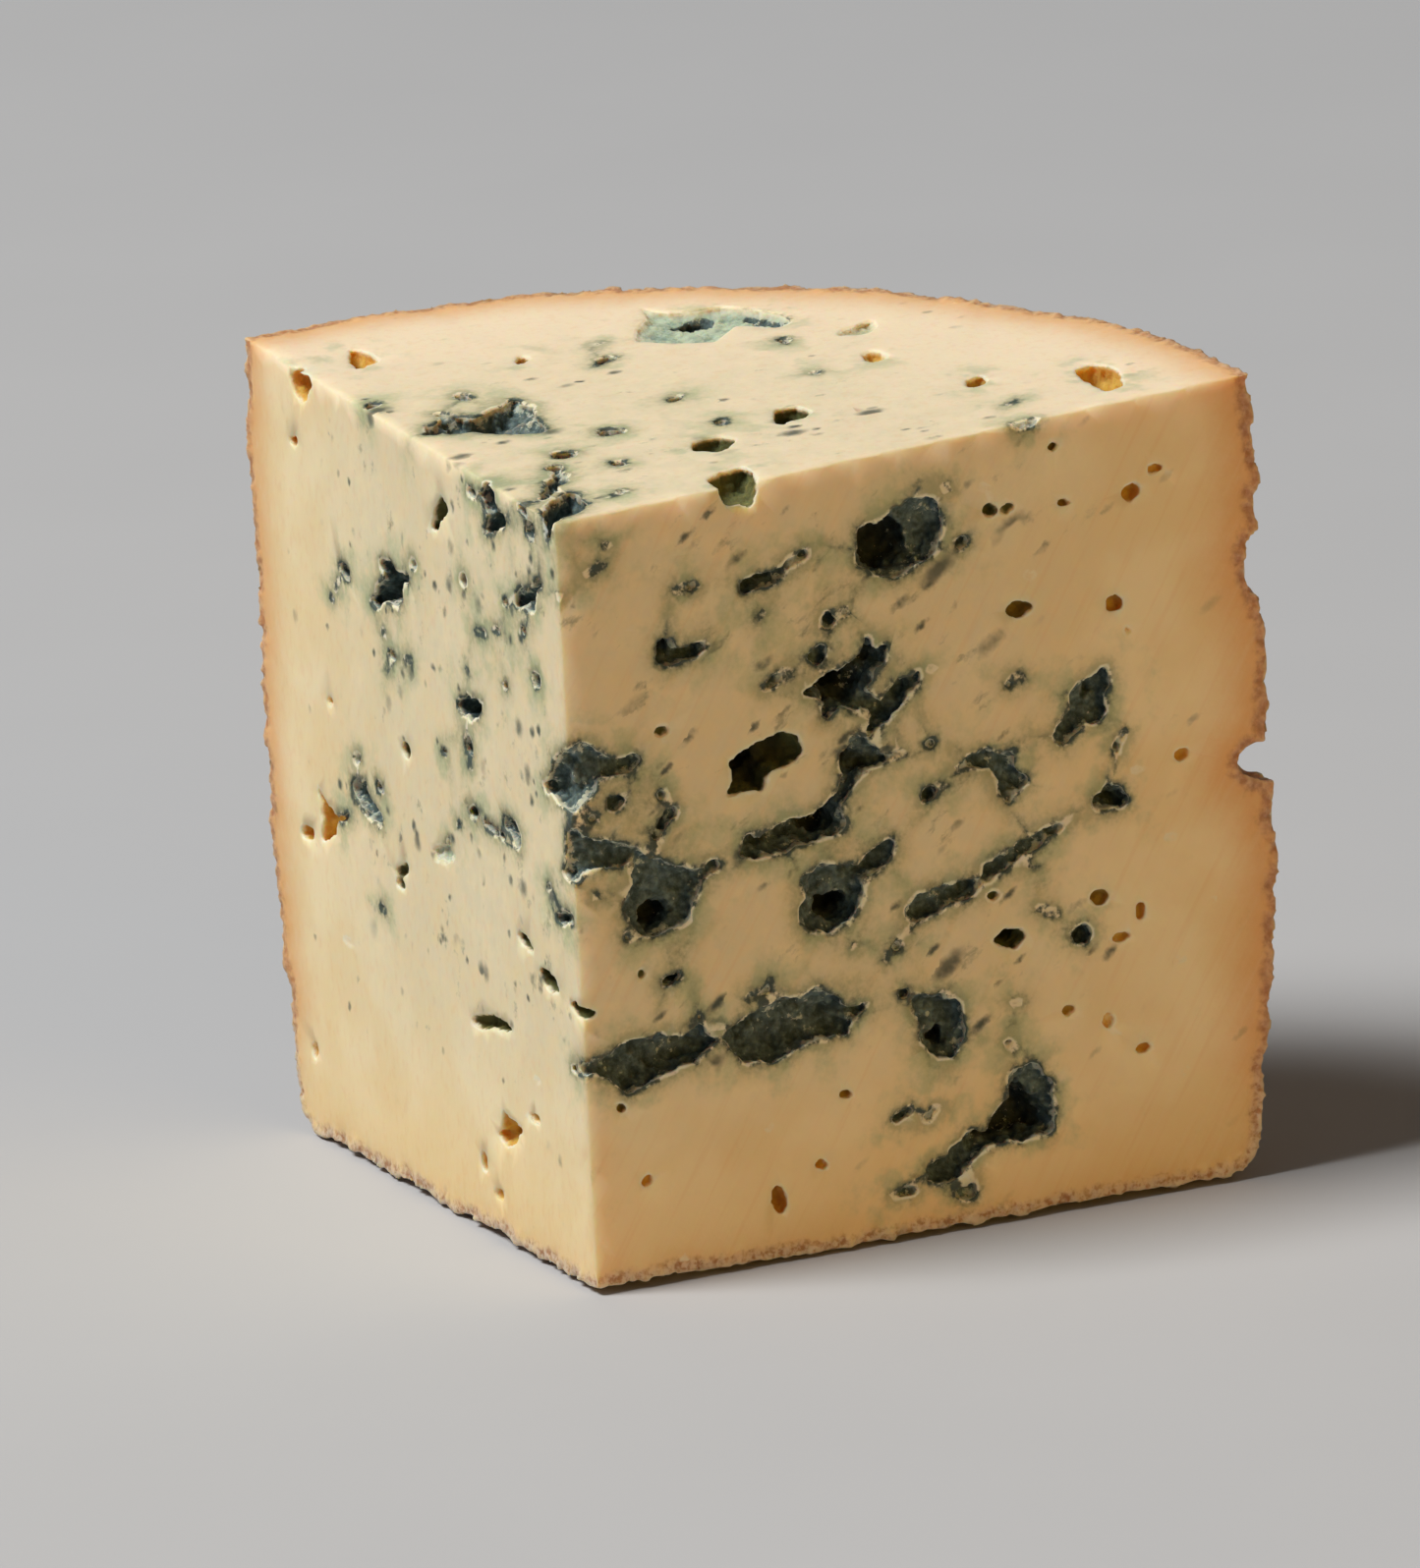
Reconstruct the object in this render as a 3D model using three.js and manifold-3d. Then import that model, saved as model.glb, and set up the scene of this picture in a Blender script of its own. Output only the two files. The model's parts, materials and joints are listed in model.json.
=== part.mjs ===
// A wedge of blue-veined cow's milk cheese: a quarter of the lower half of a small drum-shaped
// wheel. The knife has left three flat cut faces: two upright ones that meet at a right angle on
// the wheel's axis, and one on top, about half way up the wheel, which falls a little towards the
// front edge. Rind is left on the curved back and on the underside. The cheese ripened as one
// body, so the wedge is one closed solid.
//
// Millimetres, +Z up. The origin is the centre of the box round the wedge, on the surface that it
// stands on. The front edge, where the upright cuts meet, faces -Y, and the rind faces +Y.

import * as THREE from "three";
import { mergeVertices } from "three/addons/utils/BufferGeometryUtils.js";
import Module from "manifold-3d";

// Driving dimensions
const WHEEL_RADIUS = 65; // the rind at the top cut
const WEDGE_HEIGHT = 72; // from the underside to the top cut, in the middle of the rind
const CUT_FALL = 4.7; // how much lower the top cut lies at the front edge
const WEDGE_ANGLE = Math.PI / 2; // between the two upright cuts
const BELLY = 0.5; // how far the side swells past WHEEL_RADIUS
const BELLY_HEIGHT = 38; // where it swells most
const SHOULDER_INSET = 0.7; // how far the side has drawn in at SHOULDER_HEIGHT
const SHOULDER_HEIGHT = 15;
const RIM_INSET = 2.6; // and where the rounded rim begins, RIM_RADIUS above the underside
const RIM_RADIUS = 4.5; // rounding between the side and the underside
const CRUST_WAVE = 0.25; // slow unevenness of the rind, either way
const WAVES_ROUND = 12; // crests of that unevenness round the whole wheel
const WAVES_UP = 2.4; // and from the underside to the top cut
const SPARE_HEIGHT = 3; // how far the wheel is built past the top cut, which then goes through it

// Fineness of the faceted surface
const STEPS_ROUND = 160;
const STEPS_UP_SIDE = 18;
const STEPS_ROUND_RIM = 5;

const wasm = await Module();
wasm.setup();

/** A closed BufferGeometry as a manifold-3d solid. */
function solidOf(geometry) {
  const bare = geometry.clone();
  bare.deleteAttribute("normal");
  bare.deleteAttribute("uv");
  const merged = mergeVertices(bare, 1e-4);
  return new wasm.Manifold(
    new wasm.Mesh({
      numProp: 3,
      vertProperties: merged.attributes.position.array,
      triVerts: new Uint32Array(merged.index.array),
    }),
  );
}

/** A manifold-3d solid as a BufferGeometry with flat-shaded faces. */
function geometryOf(solid) {
  const mesh = solid.getMesh();
  const indexed = new THREE.BufferGeometry();
  indexed.setAttribute("position", new THREE.BufferAttribute(mesh.vertProperties, 3));
  indexed.setIndex(new THREE.BufferAttribute(mesh.triVerts, 1));
  const geometry = indexed.toNonIndexed();
  geometry.computeVertexNormals();
  return geometry;
}

/** Half of the wheel's section, from the axis along the underside, up the rind and back. */
function wheelSection() {
  const rimTop = new THREE.Vector2(WHEEL_RADIUS - RIM_INSET, RIM_RADIUS);
  const shoulder = new THREE.Vector2(WHEEL_RADIUS - SHOULDER_INSET, SHOULDER_HEIGHT);
  const belly = new THREE.Vector2(WHEEL_RADIUS + BELLY, BELLY_HEIGHT);
  const cutEdge = new THREE.Vector2(WHEEL_RADIUS, WEDGE_HEIGHT + SPARE_HEIGHT);

  const rim = new THREE.Path();
  rim.absarc(rimTop.x - RIM_RADIUS, RIM_RADIUS, RIM_RADIUS, -Math.PI / 2, 0, false);
  const side = new THREE.SplineCurve([rimTop, shoulder, belly, cutEdge]);

  return [
    new THREE.Vector2(0, 0),
    ...rim.getPoints(STEPS_ROUND_RIM),
    ...side.getPoints(STEPS_UP_SIDE).slice(1),
    new THREE.Vector2(0, WEDGE_HEIGHT + SPARE_HEIGHT),
  ];
}

/** Moves the rind in and out a little. The underside stays flat. */
function unevenRind(geometry) {
  const place = geometry.attributes.position;
  const p = new THREE.Vector3();
  for (let i = 0; i < place.count; i += 1) {
    p.fromBufferAttribute(place, i);
    const radius = Math.hypot(p.x, p.y);
    if (radius < WHEEL_RADIUS - RIM_INSET - RIM_RADIUS) continue;
    const round = Math.atan2(p.y, p.x) * WAVES_ROUND;
    const up = (p.z / WEDGE_HEIGHT) * WAVES_UP * 2 * Math.PI;
    const scale = 1 + (CRUST_WAVE * Math.sin(round + Math.sin(up))) / radius;
    place.setXYZ(i, p.x * scale, p.y * scale, p.z);
  }
  return geometry;
}

/** The lower half of the wheel, standing on its underside with its axis on Z. */
function halfWheel() {
  const turned = new THREE.LatheGeometry(wheelSection(), STEPS_ROUND).rotateX(Math.PI / 2);
  return solidOf(unevenRind(turned));
}

/** All that lies between the two upright cuts, which meet on Z and open towards +Y. */
function betweenTheCuts() {
  const reach = 2 * WHEEL_RADIUS;
  const half = WEDGE_ANGLE / 2;
  const plan = new THREE.Shape([
    new THREE.Vector2(0, 0),
    new THREE.Vector2(reach * Math.sin(half), reach * Math.cos(half)),
    new THREE.Vector2(-reach * Math.sin(half), reach * Math.cos(half)),
  ]);
  const prism = new THREE.ExtrudeGeometry(plan, { depth: 2 * WEDGE_HEIGHT, bevelEnabled: false });
  return solidOf(prism.translate(0, 0, -WEDGE_HEIGHT / 2));
}

/** All that lies below the top cut, which rises from the front edge towards +Y. */
function belowTheTopCut() {
  const reach = 2 * WHEEL_RADIUS;
  const heightAt = (y) => WEDGE_HEIGHT - (CUT_FALL * (WHEEL_RADIUS - y)) / WHEEL_RADIUS;
  const section = new THREE.Shape([
    new THREE.Vector2(-reach, -reach),
    new THREE.Vector2(reach, -reach),
    new THREE.Vector2(reach, heightAt(reach)),
    new THREE.Vector2(-reach, heightAt(-reach)),
  ]);
  const bar = new THREE.ExtrudeGeometry(section, { depth: 2 * reach, bevelEnabled: false });
  const alongX = new THREE.Matrix4().makeBasis(
    new THREE.Vector3(0, 1, 0),
    new THREE.Vector3(0, 0, 1),
    new THREE.Vector3(1, 0, 0),
  );
  return solidOf(bar.translate(0, 0, -reach).applyMatrix4(alongX));
}

/** Puts the origin under the middle of the geometry's box, on the surface that it stands on. */
function centredOnBase(geometry) {
  geometry.computeBoundingBox();
  const middle = geometry.boundingBox.getCenter(new THREE.Vector3());
  return geometry.translate(-middle.x, -middle.y, -geometry.boundingBox.min.z);
}

const paste = new THREE.MeshStandardMaterial({ color: 0xe9cf9b, roughness: 0.55, metalness: 0 });

const cut = halfWheel().intersect(betweenTheCuts()).intersect(belowTheTopCut());
const wedge = new THREE.Mesh(centredOnBase(geometryOf(cut)), paste);
wedge.name = "cheese_wedge";

const cheese = new THREE.Group();
cheese.add(wedge);

export default cheese;
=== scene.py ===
# %% [markdown]
# # A wedge of blue cheese
#
# The object is a quarter of a half-height wheel of blue cheese. A knife has left three flat faces,
# and rind covers the curved back and the underside. It grew as one body, so it is one piece here
# too: the wheel is turned, the mould hollows are cut out of it, and one skin is drawn over all.
#
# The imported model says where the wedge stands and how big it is. Everything below is worked out
# from its box.

# %% Load the frame
import json
import math
import random

import bmesh
import bpy
import numpy as np
from mathutils import Matrix, Quaternion, Vector
from mathutils.bvhtree import BVHTree
from mathutils.kdtree import KDTree

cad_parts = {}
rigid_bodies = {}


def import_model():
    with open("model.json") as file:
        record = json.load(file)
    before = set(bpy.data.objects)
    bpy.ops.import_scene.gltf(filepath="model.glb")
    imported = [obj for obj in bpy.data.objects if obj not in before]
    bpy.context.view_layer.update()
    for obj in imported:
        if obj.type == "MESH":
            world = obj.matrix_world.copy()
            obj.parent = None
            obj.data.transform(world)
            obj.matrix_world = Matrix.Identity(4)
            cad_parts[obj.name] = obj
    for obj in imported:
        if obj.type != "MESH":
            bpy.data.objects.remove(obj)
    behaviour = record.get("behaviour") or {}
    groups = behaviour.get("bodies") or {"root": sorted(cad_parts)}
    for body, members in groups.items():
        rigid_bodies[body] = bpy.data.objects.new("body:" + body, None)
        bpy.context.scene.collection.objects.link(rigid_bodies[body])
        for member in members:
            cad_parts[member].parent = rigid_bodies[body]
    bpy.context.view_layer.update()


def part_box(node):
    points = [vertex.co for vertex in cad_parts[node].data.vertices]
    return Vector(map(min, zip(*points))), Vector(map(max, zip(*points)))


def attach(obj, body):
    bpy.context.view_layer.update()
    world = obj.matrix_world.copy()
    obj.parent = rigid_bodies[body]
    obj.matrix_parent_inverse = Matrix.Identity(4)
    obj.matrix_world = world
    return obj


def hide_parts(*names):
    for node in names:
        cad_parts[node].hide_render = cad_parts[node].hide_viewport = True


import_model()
low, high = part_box("cheese_wedge")
MM = 0.001
print("wedge in mm:", [round(x / MM, 1) for x in high - low])

# %% [markdown]
# ## The knife's frame
#
# It is easiest to model a quarter wheel with its two upright cuts on the X and Y axes and the
# wheel's own axis on Z. The right cut face then lies on y = 0 and the left one on x = 0. At the
# end the whole mesh is turned by half a right angle, so that the front edge faces -Y.

# %% Sizes of the wheel
HEIGHT = high.z - low.z
RADIUS = (high.x - low.x) / math.sqrt(2) - 0.5 * MM
CUT_FALL = 4.7 * MM  # how much lower the top cut lies at the front edge than at the rind
FRONT_HEIGHT = HEIGHT - CUT_FALL
CUT_RISE = CUT_FALL / RADIUS / math.sqrt(2)  # along each upright cut's own axis
TOP_FACING = Vector((-CUT_RISE, -CUT_RISE, 1)).normalized()
WHEEL_AXIS = Vector((0, low.y, low.z))
QUARTER_TURN = math.pi / 2

# Height above the underside, and how far the side stands out there from RADIUS, both in mm.
SIDE_PROFILE = [(9, -1.6), (16, -0.6), (27, 0.2), (38, 0.4), (55, 0.2), (70, 0)]
RIM_INSET = 2.4 * MM  # how far the side has drawn in at the underside
RIM_ROUNDING = 4.5 * MM
ROUND_STEPS = 192
SPARE = 3 * MM  # left on at each cut until the rind has been shaped

# How fine the skin is, while the rind is shaped, for the hollows, and over all in the end.
RIND_STEP = 0.5 * MM
CUTTER_STEP = 0.18 * MM
FINE = 0.24 * MM
print("wheel radius in mm:", round(RADIUS / MM, 2), "height:", round(HEIGHT / MM, 2))


# %% [markdown]
# ## Working by hand, without a window
#
# Operators act on what is selected. These helpers select one object, apply one modifier to it,
# and read or write the places of its points.

# %% Helpers
def only(piece):
    """Selects this object alone and makes it the active one."""
    if bpy.context.object and bpy.context.object.mode != "OBJECT":
        bpy.ops.object.mode_set(mode="OBJECT")
    bpy.ops.object.select_all(action="DESELECT")
    piece.select_set(True)
    bpy.context.view_layer.objects.active = piece


def finish_with(piece, kind, **settings):
    """Adds a modifier to a piece, sets it up and applies it."""
    only(piece)
    modifier = piece.modifiers.new(kind.lower(), kind)
    for name, value in settings.items():
        setattr(modifier, name, value)
    bpy.ops.object.modifier_apply(modifier=modifier.name)


def places_of(piece):
    """The places of a mesh's points, one row each."""
    flat = np.empty(len(piece.data.vertices) * 3)
    piece.data.vertices.foreach_get("co", flat)
    return flat.reshape(-1, 3)


def normals_of(piece):
    """The directions in which a mesh's points face, one row each."""
    flat = np.empty(len(piece.data.vertices) * 3, np.float32)
    piece.data.vertex_normals.foreach_get("vector", flat)
    return flat.reshape(-1, 3).astype(float)


WEIGHT_STEPS = 20  # a group's weights are rounded to so many steps, so that it is quick to fill


def group_points(piece, name, weights):
    """Makes a vertex group from one weight for each point."""
    group = piece.vertex_groups.new(name=name)
    steps = np.rint(np.clip(weights, 0, 1) * WEIGHT_STEPS).astype(int)
    for step in range(1, WEIGHT_STEPS + 1):
        members = np.nonzero(steps == step)[0].tolist()
        if members:
            group.add(members, step / WEIGHT_STEPS, "REPLACE")
    return name


def soft_step(start, end, values):
    """Rises smoothly from 0 at start to 1 at end, or falls where end is the lower."""
    share = np.clip((values - start) / (end - start), 0, 1)
    return share * share * (3 - 2 * share)


# %% [markdown]
# ## The wheel
#
# A cylinder is the start. Rings are cut into its side and drawn in or out, which gives the slack
# belly of a drum of cheese, and its lower rim is rounded. Two bisects then take the quarter, with
# a little to spare on each cut face, because a rind has to be shaped before the knife goes
# through it: then the edge of each cut shows every fold.

# %% Turn the wheel
bpy.ops.object.select_all(action="DESELECT")
bpy.ops.mesh.primitive_cylinder_add(
    vertices=ROUND_STEPS,
    radius=RADIUS,
    depth=HEIGHT + SPARE,
    location=(0, 0, (HEIGHT + SPARE) / 2),
)
wedge = bpy.context.active_object
wedge.name = "cheese_wedge_cut"
bpy.ops.object.transform_apply(location=True, rotation=True, scale=True)


def pick(piece, wanted, of="verts"):
    """In edit mode, selects the points, edges or faces that wanted(...) is true of."""
    mesh = bmesh.from_edit_mesh(piece.data)
    bpy.ops.mesh.select_all(action="DESELECT")
    for item in getattr(mesh, of):
        item.select_set(wanted(item))
    mesh.select_flush_mode()
    bmesh.update_edit_mesh(piece.data)


HAIR = 0.01 * MM  # nearer than this counts as the same height


def at_height(height):
    """A test for a point on the wheel's side at this height."""
    return lambda v: abs(v.co.z - height) < HAIR and v.co.xy.length > RADIUS / 2


def bisect(at, facing, **settings):
    """Cuts everything along a plane, in edit mode."""
    bpy.ops.mesh.select_all(action="SELECT")
    bpy.ops.mesh.bisect(plane_co=at, plane_no=facing, **settings)


bpy.ops.object.mode_set(mode="EDIT")
for up, _ in SIDE_PROFILE:
    bisect((0, 0, up * MM), (0, 0, 1))
for up, out in SIDE_PROFILE + [((HEIGHT + SPARE) / MM, 0)]:
    pick(wedge, at_height(up * MM))
    grow = 1 + out * MM / RADIUS
    bpy.ops.transform.resize(value=(grow, grow, 1), center_override=(0, 0, up * MM))
pick(wedge, at_height(0))
shrink = 1 - RIM_INSET / RADIUS
bpy.ops.transform.resize(value=(shrink, shrink, 1), center_override=(0, 0, 0))
bpy.context.tool_settings.mesh_select_mode = (False, True, False)
pick(wedge, lambda e: all(abs(v.co.z) < HAIR for v in e.verts), of="edges")
bpy.ops.mesh.bevel(offset=RIM_ROUNDING, segments=6, affect="EDGES")
bpy.context.tool_settings.mesh_select_mode = (True, False, False)
for away in ((-1, 0, 0), (0, -1, 0)):
    bisect(-SPARE * Vector((1, 1, 0)), away, use_fill=True, clear_outer=True)
bpy.ops.object.mode_set(mode="OBJECT")
print("quarter wheel:", len(wedge.data.polygons), "faces")

# %% [markdown]
# ## An uneven rind
#
# The wheel sagged in its hoop, was turned on rough shelves and shrank as it dried. So its skin
# has wide swells, flat folds that run round it, and lumps the size of a lentil. Displace modifiers
# give all three, each from a cloud texture of its own size. The folds need a texture that is
# stretched along the side, so it is placed by an empty that is squashed upright. The underside took
# the unevenness of the shelf, so it is drawn up in places and stands on the rest.

# %% Swell, fold and roughen
def clouds(name, size, depth=2):
    """A cloud texture whose lumps are about this size."""
    texture = bpy.data.textures.new(name, "CLOUDS")
    texture.noise_scale = size
    texture.noise_depth = depth
    texture.noise_basis = "ORIGINAL_PERLIN"
    return texture


def grains(name, size):
    """A texture of rounded grains of about this size with sharp valleys between them."""
    texture = bpy.data.textures.new(name, "VORONOI")
    texture.noise_scale = size
    return texture


def displace(piece, texture, amount, middle=0.5, group="", squash=None):
    """Pushes a piece's points along their normals by a texture."""
    settings = {"texture_coords": "LOCAL"}
    if squash:
        bpy.ops.object.empty_add()
        guide = bpy.context.active_object
        guide.scale = squash
        bpy.context.view_layer.update()
        settings = {"texture_coords": "OBJECT", "texture_coords_object": guide}
    settings.update(texture=texture, strength=amount, mid_level=middle, vertex_group=group)
    finish_with(piece, "DISPLACE", **settings)
    if squash:
        bpy.data.objects.remove(guide)


finish_with(wedge, "REMESH", mode="VOXEL", voxel_size=RIND_STEP)
spots = places_of(wedge) / MM
out_from_axis = np.hypot(spots[:, 0], spots[:, 1])
on_side = soft_step(54, 59, out_from_axis) * soft_step(0, 6, spots[:, 2])
side_group = group_points(wedge, "side", on_side)
under_group = group_points(wedge, "under", soft_step(1.2, 0.3, spots[:, 2]))
displace(wedge, clouds("swell", 16 * MM), 1.8 * MM, 0.55, side_group)
displace(wedge, clouds("fold", 5 * MM, 3), 1.6 * MM, 0.55, side_group, squash=(3.2, 3.2, 0.8))
displace(wedge, clouds("lentil", 3.0 * MM, 3), 1.5 * MM, 0.5, side_group)
displace(wedge, clouds("shelf", 14 * MM, 3), -1.6 * MM, 0.25, under_group)
displace(wedge, clouds("under_lentil", 2.6 * MM, 3), -0.6 * MM, 0.3, under_group)
print("rind shaped:", len(wedge.data.polygons), "faces")

# %% [markdown]
# ## Hollows: balls and outlines
#
# While the curd knits, gaps stay open between its grains, and blue mould grows in every gap that
# air reaches. A knife then opens them. A small gap is a few flattened balls that run into each
# other. A large one has an outline of its own, drawn as a handful of points on the cut face and
# pushed into the paste. Both are laid on a cut face in millimetres, where `across` is
# measured from the wheel's axis and `up` from the underside. All the marks of a face can also be
# slid, leaned and stretched together, which is how they were fitted to its edges in the end.

# %% The faces that hollows are laid on
CUT_FACES = {
    # name: (place of 0 across and 0 up, a step across, a step up, into the paste)
    "right": ((0.6, 0, -1.3), (1, 0, 0.03), (-0.015, 0, 0.985), (0, 1, 0)),
    "left": ((0, -1.5, -0.8), (0, 1, 0.03), (0, 0.035, 0.98), (1, 0, 0)),
    "top": ((0.3, 1.5, 0), (0.97, -0.06, 0), (-0.03, 0.95, 0), -TOP_FACING),
}


def on_face(face, across, up):
    """The place of a mark on a cut face."""
    start, across_step, up_step, _ = (Vector(way) for way in CUT_FACES[face])
    place = (start + across_step * across + up_step * up) * MM
    if face == "top":
        place.z = FRONT_HEIGHT + CUT_RISE * (place.x + place.y)
    return place


SINK = 0.3  # how deep a ball's middle lies below the cut, in shares of its own depth
STEP_IN = 0.4  # the share of its depth down to which an outline widens
WIDEST = 1.03  # its size there
TAPER = 0.72  # and the share of that to which it has drawn in at the bottom


def new_cutter(name):
    """An empty mesh object, open in edit mode."""
    cutter = bpy.data.objects.new(name, bpy.data.meshes.new(name))
    bpy.context.scene.collection.objects.link(cutter)
    only(cutter)
    bpy.ops.object.mode_set(mode="EDIT")
    return cutter


def lay_ball(face, across, up, length, height, tilt, depth):
    """Adds a flattened ball that sits in a cut face, tilted in the plane of the face."""
    inwards = Vector(CUT_FACES[face][3])
    middle = on_face(face, across, up)
    across_way = (on_face(face, across + 1, up) - middle).normalized()
    sideways = inwards if face == "left" else -inwards
    upright = Matrix((across_way, sideways.cross(across_way), sideways)).transposed()
    turn = upright @ Matrix.Rotation(math.radians(tilt), 3, "Z")
    bpy.ops.mesh.primitive_ico_sphere_add(
        subdivisions=3,
        radius=MM,
        location=middle + inwards * (SINK * depth * MM),
        rotation=turn.to_euler(),
        scale=(length / 2, height / 2, depth),
    )


def lay_outline(piece, face, depth, points):
    """Adds a body with this outline, from a millimetre above a cut face down to depth."""
    inwards = Vector(CUT_FACES[face][3])
    bpy.ops.mesh.primitive_circle_add(vertices=len(points), radius=MM, fill_type="NGON")
    mesh = bmesh.from_edit_mesh(piece.data)
    ring = [v for v in mesh.verts if v.select]
    ring.sort(key=lambda v: math.atan2(v.co.y, v.co.x) % math.tau)
    for vertex, (across, up) in zip(ring, points):
        vertex.co = on_face(face, across, up) - inwards * MM
    middle = sum((v.co for v in ring), Vector()) / len(ring)
    bmesh.update_edit_mesh(piece.data)
    for step, size in ((STEP_IN * depth * MM + MM, WIDEST), ((1 - STEP_IN) * depth * MM, TAPER)):
        way = inwards * step
        bpy.ops.mesh.extrude_region_move(TRANSFORM_OT_translate={"value": way})
        middle = middle + way
        bpy.ops.transform.resize(value=(size, size, size), center_override=middle)


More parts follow.
